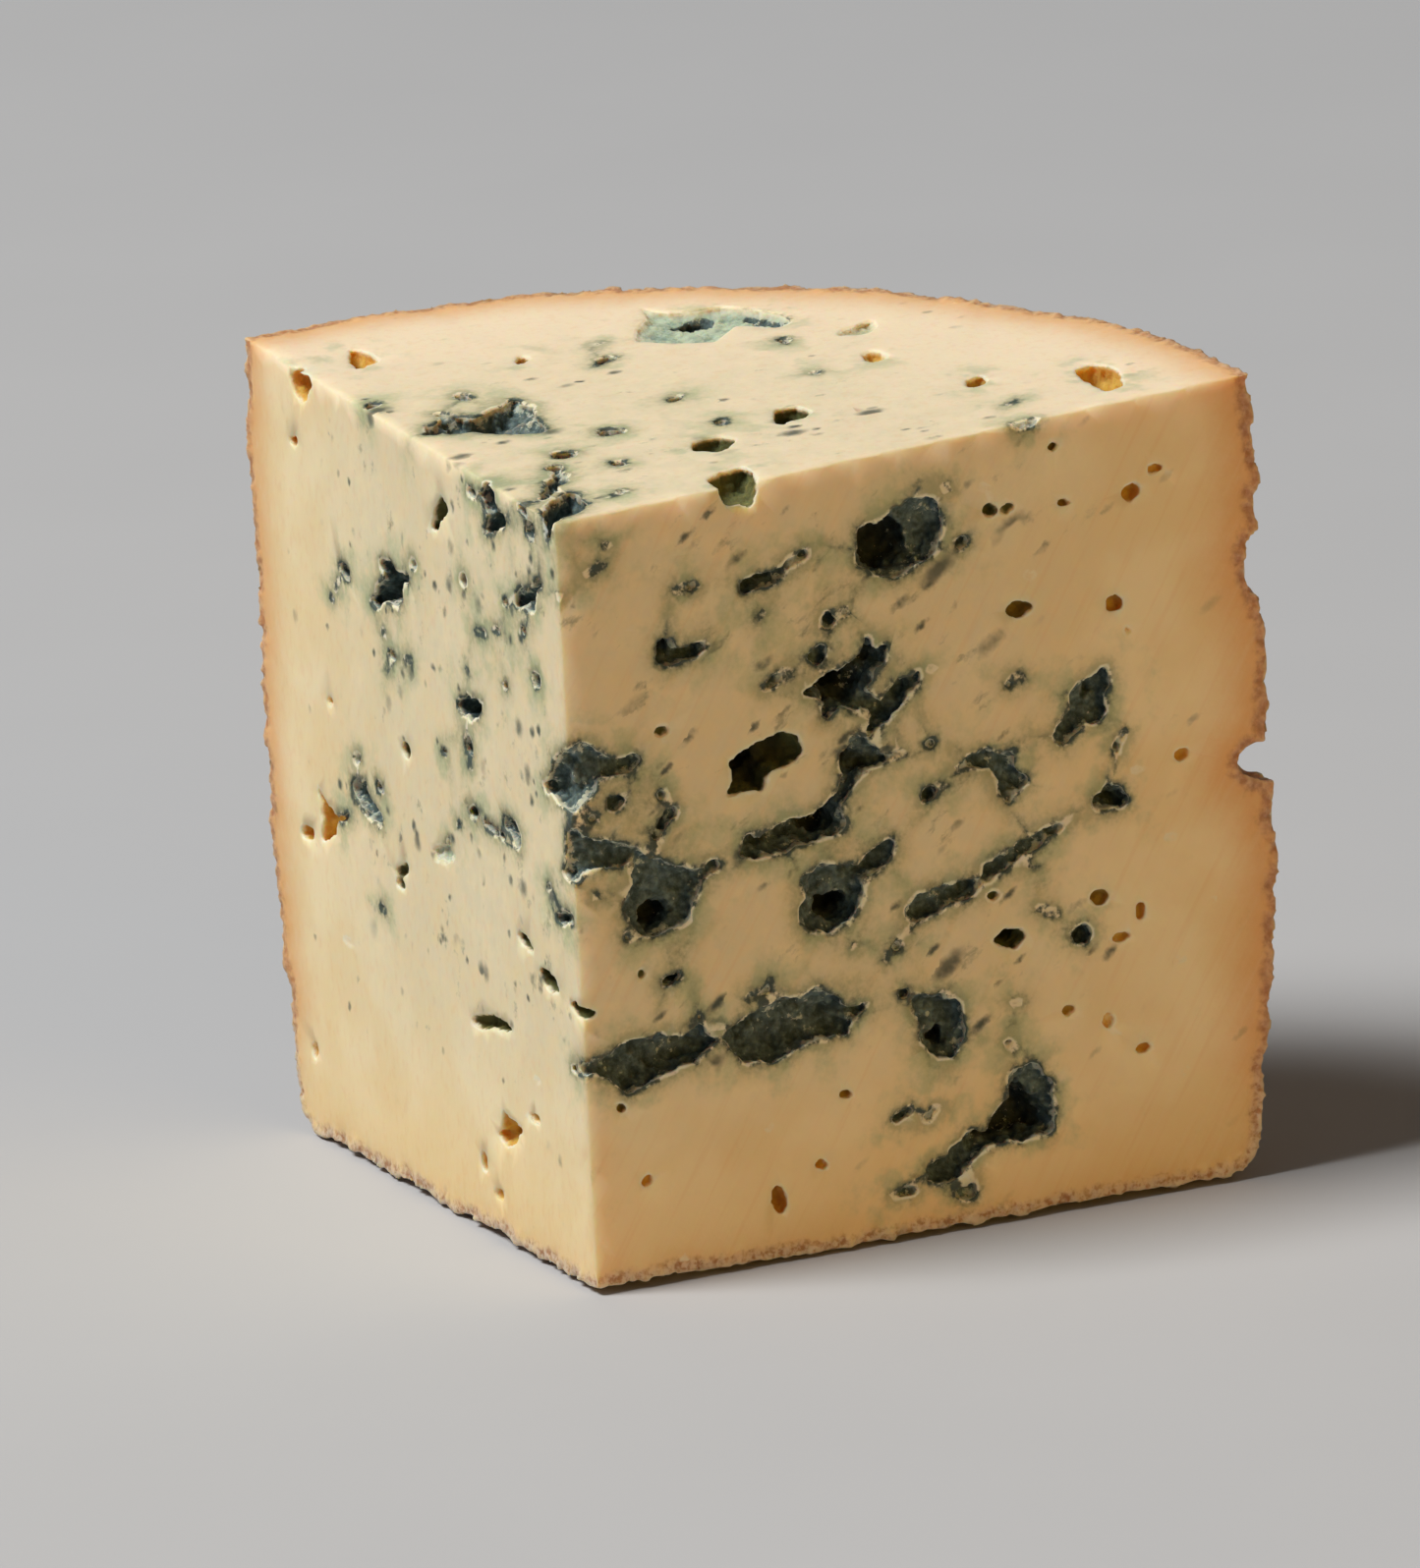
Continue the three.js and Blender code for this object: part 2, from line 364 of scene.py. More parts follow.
# %% Large mouldy hollows, by their outlines
MOULD_OUTLINES = [
    # (face, depth, [(across, up), ...]). On top, up is measured from the wheel's axis too.
    # the round one high up, with a ledge at its right
    ("right", 2.0, [(28.2, 64.1), (30.0, 64.0), (31.2, 65.0), (32.6, 65.6), (34.6, 65.5), (35.8, 64.8),
        (36.1, 63.3), (35.6, 61.8), (34.6, 60.5), (33.0, 59.6), (31.0, 59.3), (29.2, 59.8), (28.0, 61.2),
        (27.8, 62.8)]),
    # the great ragged one
    ("right", 3.6, [(22.2, 50.7), (24.4, 51.6), (26.8, 52.2), (27.6, 53.6), (28.3, 54.6), (29.0, 53.2),
        (30.5, 53.8), (29.8, 52.2), (28.6, 51.2), (28.1, 49.9), (27.0, 48.3), (25.4, 48.8), (23.9, 48.0),
        (24.3, 49.6)]),
    ("right", 2.0, [(28.2, 49.8), (29.0, 48.7), (30.6, 49.8), (33.0, 50.8), (32.4, 49.3), (31.0, 47.8),
        (29.4, 46.6), (27.8, 45.8), (28.4, 47.6), (27.4, 48.6)]),
    # the long crack below it
    ("right", 2.6, [(15.2, 37.2), (15.6, 38.8), (16.6, 39.3), (17.6, 38.7), (19.0, 39.5), (21.2, 39.7),
        (23.0, 40.3), (24.8, 41.3), (25.4, 43.0), (25.4, 44.6), (26.4, 45.5), (27.6, 45.4), (28.2, 44.2),
        (29.7, 43.6), (29.2, 42.9), (27.2, 42.8), (26.0, 41.6), (24.9, 40.2), (25.1, 38.4), (24.4, 37.7),
        (21.8, 37.4), (19.4, 37.3), (17.2, 37.2)]),
    # the pouch beside it
    ("right", 1.8, [(21.0, 34.2), (22.2, 35.3), (23.8, 34.8), (25.4, 35.0), (26.6, 34.6), (27.6, 35.7),
        (29.0, 36.1), (29.9, 36.7), (29.6, 35.0), (28.4, 33.9), (26.6, 33.4), (26.3, 31.4), (25.0, 29.9),
        (23.3, 29.1), (21.7, 29.8), (20.2, 30.9), (21.2, 32.2)]),
    # the sloping pouch by the front edge
    ("right", 1.5, [(6.0, 39.4), (7.4, 38.8), (9.0, 38.1), (10.6, 37.2), (12.9, 36.8), (11.6, 35.8),
        (10.5, 34.6), (10.1, 33.0), (8.6, 32.1), (6.4, 32.1), (5.2, 33.0), (4.3, 35.0), (5.2, 36.4)]),
    # where it breaks through the front edge
    ("right", 1.3, [(-1.0, 49.4), (1.8, 50.1), (3.2, 49.2), (4.2, 48.2), (6.6, 48.3), (6.9, 47.5),
        (5.0, 47.0), (3.2, 46.9), (2.2, 45.9), (0.8, 44.9), (-1.0, 44.8)]),
    ("right", 1.1, [(-1.0, 41.9), (1.6, 41.8), (3.2, 41.0), (6.0, 40.0), (6.3, 39.2), (4.2, 38.7),
        (1.6, 39.2), (-1.0, 39.2)]),
    # the long low pocket, in two chambers
    ("right", 2.2, [(0.3, 21.1), (1.6, 22.2), (3.8, 23.0), (6.2, 23.1), (8.8, 23.0), (10.5, 23.2),
        (11.3, 22.1), (12.9, 21.7), (11.2, 21.0), (9.6, 20.4), (7.4, 19.8), (5.0, 19.1), (3.6, 18.9),
        (2.4, 20.1)]),
    ("right", 2.2, [(12.6, 21.6), (14.0, 22.8), (16.0, 23.8), (18.4, 24.1), (21.0, 24.2), (22.6, 23.6),
        (23.9, 22.4), (24.6, 20.8), (23.8, 19.9), (22.2, 20.1), (20.4, 19.9), (18.2, 19.2), (16.2, 19.0),
        (14.4, 19.6), (13.3, 20.6)]),
    # beyond it
    ("right", 1.8, [(30.4, 21.9), (31.8, 21.8), (33.4, 21.5), (34.7, 20.5), (35.2, 18.9), (34.8, 17.4),
        (33.6, 15.7), (32.2, 16.4), (31.1, 17.9), (30.8, 19.6)]),
    # the three-cornered cave by the underside, and the crumbly way down from it
    ("right", 5.0, [(36.2, 9.0), (38.0, 10.9), (39.8, 12.4), (41.4, 10.7), (42.8, 9.0), (42.4, 7.6),
        (40.0, 7.4), (37.6, 7.2), (35.8, 7.6)]),
    ("right", 1.4, [(38.6, 12.0), (39.6, 13.6), (41.4, 13.5), (42.6, 12.2), (43.0, 9.8), (42.4, 8.8),
        (41.2, 10.6), (39.8, 12.2)]),
    ("right", 2.0, [(35.8, 8.8), (34.6, 8.9), (33.4, 7.9), (32.2, 7.3), (30.6, 6.6), (30.5, 5.4),
        (32.4, 4.9), (34.0, 5.5), (35.2, 6.6), (36.4, 7.4)]),
    # the needle's track
    ("right", 1.4, [(30.3, 29.0), (30.5, 30.3), (32.0, 31.0), (34.4, 31.3), (36.8, 31.3), (37.6, 30.6),
        (36.2, 29.8), (34.2, 29.5), (32.6, 28.7), (31.0, 28.4)]),
    ("right", 0.9, [(37.2, 31.2), (38.8, 32.7), (41.0, 33.5), (43.6, 34.6), (46.3, 35.0), (44.8, 34.0),
        (42.4, 33.0), (40.2, 31.9), (38.4, 30.8)]),
    # further out
    ("right", 1.4, [(45.2, 41.8), (45.4, 43.4), (46.8, 44.6), (47.9, 46.6), (49.2, 47.2), (50.4, 47.8),
        (50.6, 46.0), (49.8, 44.8), (50.2, 43.6), (49.3, 42.6), (48.0, 43.1), (46.4, 42.0)]),
    ("right", 1.1, [(35.8, 41.4), (37.2, 42.3), (38.8, 42.4), (39.9, 41.5), (41.0, 41.6), (41.6, 42.6),
        (40.9, 40.5), (42.4, 39.5), (41.6, 38.2), (40.5, 37.5), (39.4, 38.4), (39.6, 40.0), (38.2, 41.0)]),
    # on the left face
    ("left", 2.4, [(37.6, 57.2), (35.0, 57.4), (33.6, 56.9), (30.9, 57.1), (32.4, 56.0), (32.9, 54.6),
        (34.2, 53.6), (36.0, 53.9), (38.6, 52.4), (40.1, 52.9), (38.4, 54.2), (36.6, 55.4)]),
    ("left", 1.5, [(47.6, 34.0), (46.2, 35.2), (44.2, 35.2), (43.2, 34.0), (41.4, 33.4), (41.6, 32.2),
        (44.0, 32.3), (45.6, 33.2)]),
    ("left", 2.6, [(22.6, 48.0), (20.8, 49.3), (18.6, 49.2), (17.0, 49.4), (18.2, 48.1), (20.0, 47.1),
        (21.8, 47.2)]),
    ("left", 2.6, [(14.8, 68.6), (13.6, 69.5), (11.6, 69.3), (11.0, 68.1), (9.4, 67.5), (10.6, 66.4),
        (12.6, 65.3), (14.1, 65.4), (13.4, 66.9)]),
    ("left", 1.6, [(8.8, 60.1), (7.4, 61.8), (5.2, 62.6), (3.9, 63.8), (2.5, 63.5), (4.4, 62.3),
        (4.8, 60.8), (6.6, 60.2)]),
    ("left", 1.3, [(5.8, 45.0), (3.6, 46.5), (2.0, 48.8), (-1.0, 49.8), (-1.0, 43.8), (1.8, 44.2)]),
    ("left", 1.3, [(2.4, 38.0), (1.4, 40.6), (1.6, 42.2), (-1.0, 42.4), (-1.0, 38.0)]),
    ("left", 2.0, [(14.7, 39.8), (13.2, 40.4), (11.6, 39.8), (11.1, 38.4), (12.6, 38.0), (13.8, 38.8)]),
    # on top
    ("top", 1.8, [(1.6, 29.4), (3.4, 31.6), (5.1, 33.0), (5.6, 34.8), (6.6, 32.6), (8.2, 31.8),
        (10.0, 32.8), (12.4, 34.2), (12.7, 31.6), (11.8, 28.4), (11.4, 25.6), (10.2, 23.8), (8.8, 25.0),
        (7.0, 25.8), (5.6, 27.6), (3.4, 28.6)]),
    ("top", 2.4, [(-1.0, -1.0), (0.6, 2.8), (3.0, 5.4), (4.9, 6.8), (4.9, 3.8), (4.2, 1.8), (2.6, 0.5)]),
    ("top", 1.0, [(1.2, 5.2), (3.0, 8.0), (5.0, 10.6), (6.4, 14.2), (7.3, 14.1), (6.6, 11.2), (5.6, 9.3),
        (3.6, 7.2)]),
    ("top", 2.4, [(34.0, 48.2), (36.4, 49.2), (38.0, 48.4), (37.0, 46.2), (35.2, 46.8)]),
]

# %% Clean openings, by their outlines
CLEAN_OUTLINES = [
    ("right", 3.4, [(14.9, 45.8), (16.2, 46.7), (18.0, 47.3), (19.8, 47.7), (21.3, 46.9), (21.6, 45.4),
        (20.6, 44.8), (19.0, 44.6), (18.2, 43.8), (17.9, 42.7), (16.6, 43.2), (14.3, 42.9), (15.2, 44.4)]),
    ("right", 3.0, [(38.0, 25.5), (39.3, 26.3), (40.9, 26.0), (41.3, 25.3), (40.3, 24.4), (39.1, 24.7)]),
    ("left", 2.0, [(54.8, 32.6), (53.4, 31.5), (50.8, 30.5), (51.5, 29.0), (53.0, 28.2), (54.7, 27.4),
        (54.1, 29.4)]),
    ("left", 2.4, [(26.8, 62.1), (25.2, 63.4), (24.4, 65.0), (22.8, 66.4), (21.5, 65.2), (23.3, 64.2),
        (24.6, 62.8)]),
    ("left", 2.0, [(20.8, 10.2), (19.4, 11.0), (19.3, 12.5), (17.2, 12.2), (15.1, 11.9), (16.6, 10.6),
        (18.4, 9.4)]),
    ("left", 1.3, [(24.8, 19.1), (22.2, 20.3), (19.2, 21.0), (15.0, 20.9), (17.4, 20.1), (20.4, 19.6),
        (22.6, 18.9)]),
    ("top", 3.0, [(54.5, 5.0), (54.4, 9.0), (55.1, 12.6), (57.0, 13.4), (58.3, 12.0), (57.5, 8.6),
        (56.2, 6.2)]),
    ("top", 2.2, [(15.4, -1.0), (15.7, 2.4), (17.6, 3.8), (19.8, 4.1), (19.7, 2.2), (18.6, -1.0)]),
    ("top", 3.4, [(27.5, 13.3), (28.3, 16.0), (29.6, 18.1), (31.3, 17.2), (31.6, 15.3), (30.3, 14.1)]),
    ("top", 2.2, [(18.6, 11.2), (19.6, 13.3), (21.8, 13.7), (22.9, 12.0), (21.4, 10.1), (19.8, 9.3)]),
    ("top", 1.8, [(5.7, 51.4), (6.0, 54.0), (7.8, 57.6), (8.6, 55.0), (8.0, 52.6)]),
]

# %% Broad, shallow scars where the knife has only grazed a mouldy gap
SCAR_OUTLINES = [
    ("top", 0.8, [(28.8, 44.4), (30.4, 47.4), (32.6, 50.2), (33.6, 53.6), (34.5, 50.8), (36.8, 49.8),
        (39.2, 49.4), (40.9, 47.2), (42.4, 43.6), (42.0, 41.2), (40.3, 40.4), (39.2, 42.4), (37.6, 43.6),
        (35.8, 41.6), (34.0, 40.0), (31.4, 41.6)]),
    ("top", 0.6, [(43.5, 35.0), (44.6, 36.4), (46.6, 37.0), (48.2, 37.8), (47.2, 35.2), (45.4, 33.8)]),
    ("left", 0.5, [(30.4, 33.0), (28.4, 33.8), (26.6, 34.4), (25.4, 33.4), (27.6, 32.4), (29.8, 32.2)]),
]

# %% Small mouldy gaps and cracks, as balls
MOULD_BALLS = {
    # face: [(across, up, length, height, tilt, depth), ...]
    "right": [
        (30.9, 62.0, 5.2, 4.6, 12, 4.6), (37.6, 61.2, 1.5, 0.8, 30, 0.8), (36.3, 66.2, 0.8, 0.6, 0, 0.5),
        (34.2, 66.7, 0.8, 0.5, 20, 0.5), (18.7, 61.2, 4.2, 1.3, 5, 1.8), (21.8, 62.2, 3.6, 0.6, 24, 1.0),
        (12.0, 61.9, 2.8, 0.5, 0, 0.6), (11.2, 61.9, 0.9, 0.8, 0, 0.6), (4.0, 65.0, 2.0, 0.6, 12, 0.6),
        (5.0, 67.0, 1.0, 0.4, 0, 0.5), (0.6, 63.2, 1.2, 0.6, 0, 0.4), (9.6, 56.8, 1.9, 2.6, -15, 2.4),
        (11.8, 56.2, 3.8, 1.2, 14, 1.6), (18.5, 58.3, 1.5, 0.7, 35, 0.6), (24.8, 56.6, 1.4, 1.0, 10, 1.2),
        (26.3, 57.0, 1.0, 0.5, 40, 0.5), (19.9, 52.5, 3.4, 0.6, 24, 0.8), (23.7, 53.7, 2.2, 1.9, 20, 1.2),
        (26.2, 50.6, 3.6, 2.2, 18, 5.0), (32.2, 49.8, 2.6, 1.0, 40, 1.0), (23.4, 38.8, 3.0, 2.2, 20, 4.2),
        (26.2, 44.0, 1.8, 2.2, 40, 2.8), (30.6, 43.6, 1.8, 0.5, -12, 0.6), (26.7, 45.9, 1.7, 0.7, 30, 1.0),
        (33.4, 44.0, 1.4, 0.5, 10, 0.5), (4.3, 44.3, 2.6, 0.8, 14, 0.8), (6.1, 45.8, 1.0, 0.6, 30, 0.5),
        (8.5, 44.2, 0.9, 0.6, 20, 0.5), (2.2, 43.4, 1.8, 0.6, -20, 0.5), (8.2, 41.4, 3.2, 0.8, 46, 1.2),
        (9.2, 42.6, 1.4, 0.6, 60, 0.6), (7.6, 33.5, 3.6, 2.2, 2, 3.6), (12.8, 37.2, 1.4, 0.6, 8, 0.6),
        (4.3, 32.3, 1.1, 0.8, 40, 0.7), (1.8, 36.6, 1.0, 0.5, 30, 0.5), (24.2, 31.0, 3.6, 2.2, 8, 4.4),
        (21.6, 31.6, 1.6, 1.6, 0, 1.6), (39.4, 32.2, 3.0, 0.9, 22, 1.1), (42.0, 31.4, 1.6, 0.5, -8, 0.5),
        (50.0, 36.0, 3.2, 2.1, -10, 1.6), (50.7, 35.6, 1.6, 1.2, 20, 2.6), (51.4, 40.9, 2.6, 0.6, 58, 0.6),
        (48.9, 45.6, 1.6, 1.2, 40, 2.2), (33.3, 39.6, 1.5, 1.2, 0, 1.4), (34.6, 39.9, 1.2, 0.5, 20, 0.5),
        (42.2, 48.2, 1.6, 0.8, -30, 0.6), (41.2, 47.8, 0.8, 0.5, 60, 0.4), (46.4, 24.2, 2.3, 1.8, 36, 1.6),
        (8.3, 28.0, 1.8, 0.8, 8, 1.8), (28.7, 26.4, 2.2, 0.6, 40, 0.7), (25.0, 27.4, 0.8, 0.5, 30, 0.5),
        (24.9, 21.9, 2.6, 1.0, 10, 1.0), (16.2, 25.0, 3.0, 0.6, 14, 0.7), (10.6, 24.2, 1.2, 0.6, 50, 0.6),
        (17.2, 25.8, 0.9, 0.6, 40, 0.5), (33.0, 17.5, 2.0, 1.8, 0, 3.2), (29.6, 22.4, 1.4, 0.6, -34, 0.7),
        (39.1, 16.0, 1.2, 0.6, -46, 0.7), (40.0, 19.6, 0.9, 0.7, 0, 0.4), (28.5, 11.8, 2.3, 0.8, 14, 0.8),
        (31.1, 11.2, 2.1, 0.8, 28, 0.8), (34.2, 3.8, 2.4, 1.3, 0, 1.2), (28.4, 4.8, 2.4, 0.8, 0, 0.8),
        (43.5, 27.0, 2.6, 0.8, -32, 0.6),
    ],
    "left": [
        (12.6, 67.4, 2.2, 2.2, 10, 3.4), (16.2, 68.3, 2.4, 0.7, 0, 0.8), (6.0, 69.0, 2.0, 0.8, 10, 0.8),
        (4.6, 67.6, 1.8, 1.6, 30, 0.8), (10.4, 59.9, 1.6, 0.6, 0, 0.6), (7.6, 58.2, 1.6, 0.9, -40, 0.9),
        (19.5, 59.6, 1.3, 0.6, 0, 0.6), (33.8, 55.6, 2.4, 1.6, -4, 3.0), (30.0, 58.6, 1.4, 0.8, -20, 0.7),
        (45.2, 54.1, 3.0, 1.1, 10, 1.1), (47.6, 52.2, 1.0, 0.6, 0, 0.6), (48.6, 51.1, 0.8, 0.5, 0, 0.4),
        (36.4, 48.9, 1.3, 0.8, -10, 0.8), (32.5, 49.4, 1.6, 0.6, -10, 0.7), (37.6, 50.5, 1.0, 0.8, 0, 0.5),
        (37.0, 47.4, 1.6, 0.5, -10, 0.4), (21.0, 44.5, 1.6, 1.4, -30, 0.9),
        (26.2, 42.8, 1.4, 0.6, -10, 0.5), (21.0, 42.9, 1.6, 0.5, 10, 0.4), (41.2, 35.8, 1.8, 0.8, 0, 0.8),
        (45.4, 37.4, 2.4, 1.1, -30, 0.7), (48.9, 31.3, 3.4, 0.7, -26, 0.8),
        (26.7, 34.5, 1.6, 0.8, -30, 0.9), (24.0, 36.8, 1.6, 0.5, -30, 0.5), (20.7, 38.7, 2.4, 1.2, -8, 1.1),
        (16.8, 38.3, 5.4, 0.6, 8, 0.8), (2.8, 34.0, 3.8, 0.8, -16, 0.9), (5.6, 35.9, 0.9, 0.5, 0, 0.4),
        (13.0, 56.8, 2.0, 0.7, 0, 0.6), (16.6, 55.7, 2.8, 0.5, -14, 0.6), (12.0, 52.2, 1.0, 0.5, 0, 0.5),
        (5.2, 54.3, 1.4, 1.0, 0, 0.8), (20.0, 51.6, 1.2, 0.4, 0, 0.4), (3.2, 20.6, 1.4, 0.9, 0, 1.2),
        (1.2, 21.2, 2.4, 0.7, -14, 1.0), (41.8, 24.6, 1.4, 0.5, 0, 0.5),
    ],
    "top": [
        (3.0, 2.8, 2.8, 1.8, 46, 3.2), (8.8, 16.6, 2.4, 2.0, 0, 1.2), (11.8, 11.4, 1.6, 1.9, 30, 1.6),
        (7.6, 3.2, 2.6, 0.6, 30, 0.6), (10.2, 25.2, 2.0, 1.8, 0, 3.2), (6.6, 31.0, 2.6, 1.2, 30, 2.6),
        (9.5, 37.6, 1.4, 2.4, -10, 0.8), (15.0, 20.4, 2.2, 2.4, 30, 1.8), (23.9, 40.4, 3.0, 1.1, 36, 0.9),
        (36.6, 47.6, 1.8, 1.4, 0, 2.8), (41.0, 44.6, 5.0, 0.8, -62, 1.1), (38.9, 36.0, 0.7, 2.6, -20, 0.6),
        (24.2, 26.6, 2.8, 0.7, 50, 0.7), (24.0, 17.2, 1.0, 2.0, -24, 0.6), (2.0, 40.4, 1.0, 1.4, -20, 0.5),
        (37.0, 26.0, 0.5, 1.4, -20, 0.4), (25.6, 45.6, 1.6, 0.6, 20, 0.4), (46.6, 7.2, 2.4, 0.6, 40, 0.5),
        (44.8, 1.4, 2.4, 0.7, 10, 0.5),
    ],
}

# %% Small clean eyes, as balls
CLEAN_BALLS = {
    "right": [
        (17.0, 45.0, 3.6, 2.2, 6, 5.4), (39.8, 25.3, 2.0, 1.0, -8, 3.4), (40.0, 65.5, 1.2, 0.7, 10, 0.9),
        (40.4, 63.4, 1.5, 1.2, 0, 1.2), (42.2, 63.4, 1.9, 0.5, 18, 0.7), (46.8, 67.9, 1.3, 0.8, 0, 0.8),
        (47.4, 62.7, 1.5, 0.9, -6, 0.9), (56.1, 64.2, 1.7, 0.9, 8, 0.9), (53.6, 62.5, 1.8, 1.3, 0, 1.2),
        (58.7, 63.1, 0.8, 0.5, -20, 0.5), (43.8, 57.2, 1.0, 0.7, 0, 0.6), (42.6, 54.2, 2.8, 1.3, 4, 1.5),
        (51.3, 53.1, 1.8, 1.6, 0, 1.4), (52.6, 50.5, 0.9, 0.4, -60, 0.6), (34.0, 50.6, 1.2, 0.5, -4, 0.5),
        (8.8, 49.8, 1.4, 0.8, 0, 0.6), (52.5, 38.0, 1.1, 0.8, 0, 0.6), (56.9, 38.5, 1.3, 0.9, 10, 0.9),
        (55.3, 31.5, 1.3, 0.6, -10, 0.7), (38.4, 29.4, 1.2, 0.9, 0, 0.9), (48.4, 27.4, 1.9, 1.3, -6, 1.3),
        (52.1, 25.4, 1.1, 1.6, 0, 0.9), (50.3, 23.5, 2.4, 0.6, 4, 0.7), (55.3, 20.4, 1.5, 0.8, 0, 0.9),
        (44.8, 18.0, 1.4, 0.9, 8, 0.8), (51.6, 13.2, 1.6, 0.8, 0, 0.9), (48.5, 16.3, 1.2, 1.6, 10, 0.4),
        (59.0, 25.1, 0.9, 0.5, 0, 0.5), (55.5, 10.3, 0.6, 0.4, 0, 0.4), (2.7, 17.6, 1.5, 0.8, -26, 0.9),
        (23.6, 14.6, 1.5, 0.8, -16, 0.8), (4.8, 10.6, 1.1, 1.1, 0, 0.9), (20.9, 8.8, 1.2, 0.8, -20, 0.9),
        (16.8, 6.5, 1.6, 2.3, 16, 1.8), (16.2, 13.2, 0.6, 0.6, 0, 0.4), (7.6, 3.2, 1.0, 0.6, 0, 0.6),
        (5.6, 29.0, 0.9, 0.7, 0, 0.6),
    ],
    "left": [
        (52.2, 69.2, 4.0, 2.6, 10, 1.8), (54.8, 63.7, 2.6, 0.9, -8, 1.0), (34.6, 40.9, 2.0, 1.5, -20, 1.2),
        (50.4, 41.3, 1.4, 0.8, 0, 0.7), (57.7, 27.4, 3.2, 1.2, -14, 1.3), (37.2, 29.4, 3.2, 1.0, -26, 1.1),
        (37.8, 27.9, 2.2, 0.7, -10, 0.8), (11.6, 29.6, 3.8, 1.2, 12, 1.6), (7.2, 27.3, 4.0, 1.8, 10, 2.4),
        (1.6, 26.2, 3.6, 1.1, 10, 1.3), (50.0, 19.5, 3.4, 0.5, 0, 0.4), (12.6, 13.6, 3.0, 0.9, 0, 0.5),
        (23.8, 6.8, 1.8, 2.0, 20, 0.9), (21.2, 4.5, 2.2, 1.0, -12, 0.9), (59.6, 7.0, 1.4, 1.8, 0, 0.5),
        (11.2, 17.4, 1.4, 0.5, -10, 0.5),
    ],
    "top": [
        (18.2, 45.0, 1.1, 2.6, -24, 1.1), (46.8, 14.8, 1.6, 3.6, -34, 1.3),
        (43.2, 27.3, 2.2, 3.2, -20, 0.7), (0.6, 52.0, 1.6, 2.6, -20, 1.2),
    ],
}


# %% [markdown]
# ## From balls to ragged hollows
#
# All the bodies of one kind go into one mesh. A voxel remesh fuses those that touch, and two
# Displace modifiers break up their smooth walls: clouds make lumps, and a texture of cells makes
# curd grains that stand out of them. A second remesh heals what that has folded over.


# %% Make the cutters
LUMP_SIZE = 1.6 * MM
CURD_SIZE = 1.0 * MM


def make_cutter(name, outlines, balls, lump, curd):
    """Lays every body of one kind, fuses them and breaks up their walls by these amounts."""
    cutter = new_cutter(name)
    for face, depth, points in outlines:
        lay_outline(cutter, face, depth, points)
    for face, rows in balls.items():
        for row in rows:
            lay_ball(face, *row)
    bpy.ops.mesh.select_all(action="SELECT")
    bpy.ops.mesh.normals_make_consistent(inside=False)
    bpy.ops.object.mode_set(mode="OBJECT")
    finish_with(cutter, "REMESH", mode="VOXEL", voxel_size=CUTTER_STEP)
    displace(cutter, clouds(name + "_lump", LUMP_SIZE), lump)
    displace(cutter, grains(name + "_curd", CURD_SIZE), curd)
    finish_with(cutter, "REMESH", mode="VOXEL", voxel_size=CUTTER_STEP)
    print(name, len(cutter.data.polygons), "faces")
    return cutter


mould_cutter = make_cutter("mould_cutter", MOULD_OUTLINES, MOULD_BALLS, 1.3 * MM, 0.85 * MM)
scar_cutter = make_cutter("scar_cutter", SCAR_OUTLINES, {}, 0.5 * MM, 0.3 * MM)
clean_cutter = make_cutter("clean_cutter", CLEAN_OUTLINES, CLEAN_BALLS, 0.6 * MM, 0.5 * MM)

# %% [markdown]
# ## Folds in the rind
#
# Where the rind has creased, the crease is a long flat ball laid into the side. The deepest run out
# at the two upright cuts, and others go round the back at random, from a fixed seed.

# %% Lay the creases
CREASES = [
    # (degrees round from the right cut, up, length, height, tilt, depth)
    (0, 36.6, 14, 3.6, -6, 3.3),
    (0, 54.0, 10, 6.0, 5, 1.7),
    (4, 36.2, 16, 1.6, -4, 3.0),
    (90, 12.0, 12, 3.0, 6, 1.2),
    (90, 44.0, 12, 2.4, -4, 0.9),
]
BACK_CREASES = 26
luck = random.Random(11)
for _ in range(BACK_CREASES):
    CREASES.append(
        (
            luck.uniform(6, 86),
            luck.uniform(6, 66),
            luck.uniform(5, 16),
            luck.uniform(0.8, 2.2),
            luck.gauss(0, 9),
            luck.uniform(0.5, 1.2),
        )
    )

crease_cutter = new_cutter("crease_cutter")
for degrees, up, length, height, tilt, depth in CREASES:
    around = math.radians(degrees)
    outwards = Vector((math.cos(around), math.sin(around), 0))
    along = Vector((-outwards.y, outwards.x, 0))
    upright = Matrix((along, Vector((0, 0, 1)), outwards)).transposed()
    turn = upright @ Matrix.Rotation(math.radians(tilt), 3, "Z")
    bulge = np.interp(up, *zip(*SIDE_PROFILE)) * MM
    bpy.ops.mesh.primitive_ico_sphere_add(
        subdivisions=4,
        radius=MM,
        location=outwards * (RADIUS + bulge) + Vector((0, 0, up * MM)),
        rotation=turn.to_euler(),
        scale=(length / 2, height / 2, depth),
    )
bpy.ops.object.mode_set(mode="OBJECT")
finish_with(crease_cutter, "REMESH", mode="VOXEL", voxel_size=2 * CUTTER_STEP)
displace(crease_cutter, clouds("crease_lump", 2.2 * MM), 1.4 * MM)
finish_with(crease_cutter, "REMESH", mode="VOXEL", voxel_size=2 * CUTTER_STEP)
print("creases:", len(CREASES))

# %% [markdown]
# ## The knife goes through
#
# Three bisects, one for each cut face, take off what was spare. One boolean then takes out all the
# hollows together. Afterwards the skin is drawn anew, over paste and rind alike, by a fine voxel
# remesh, which also rounds off the knife's edges by the width of a crumb.

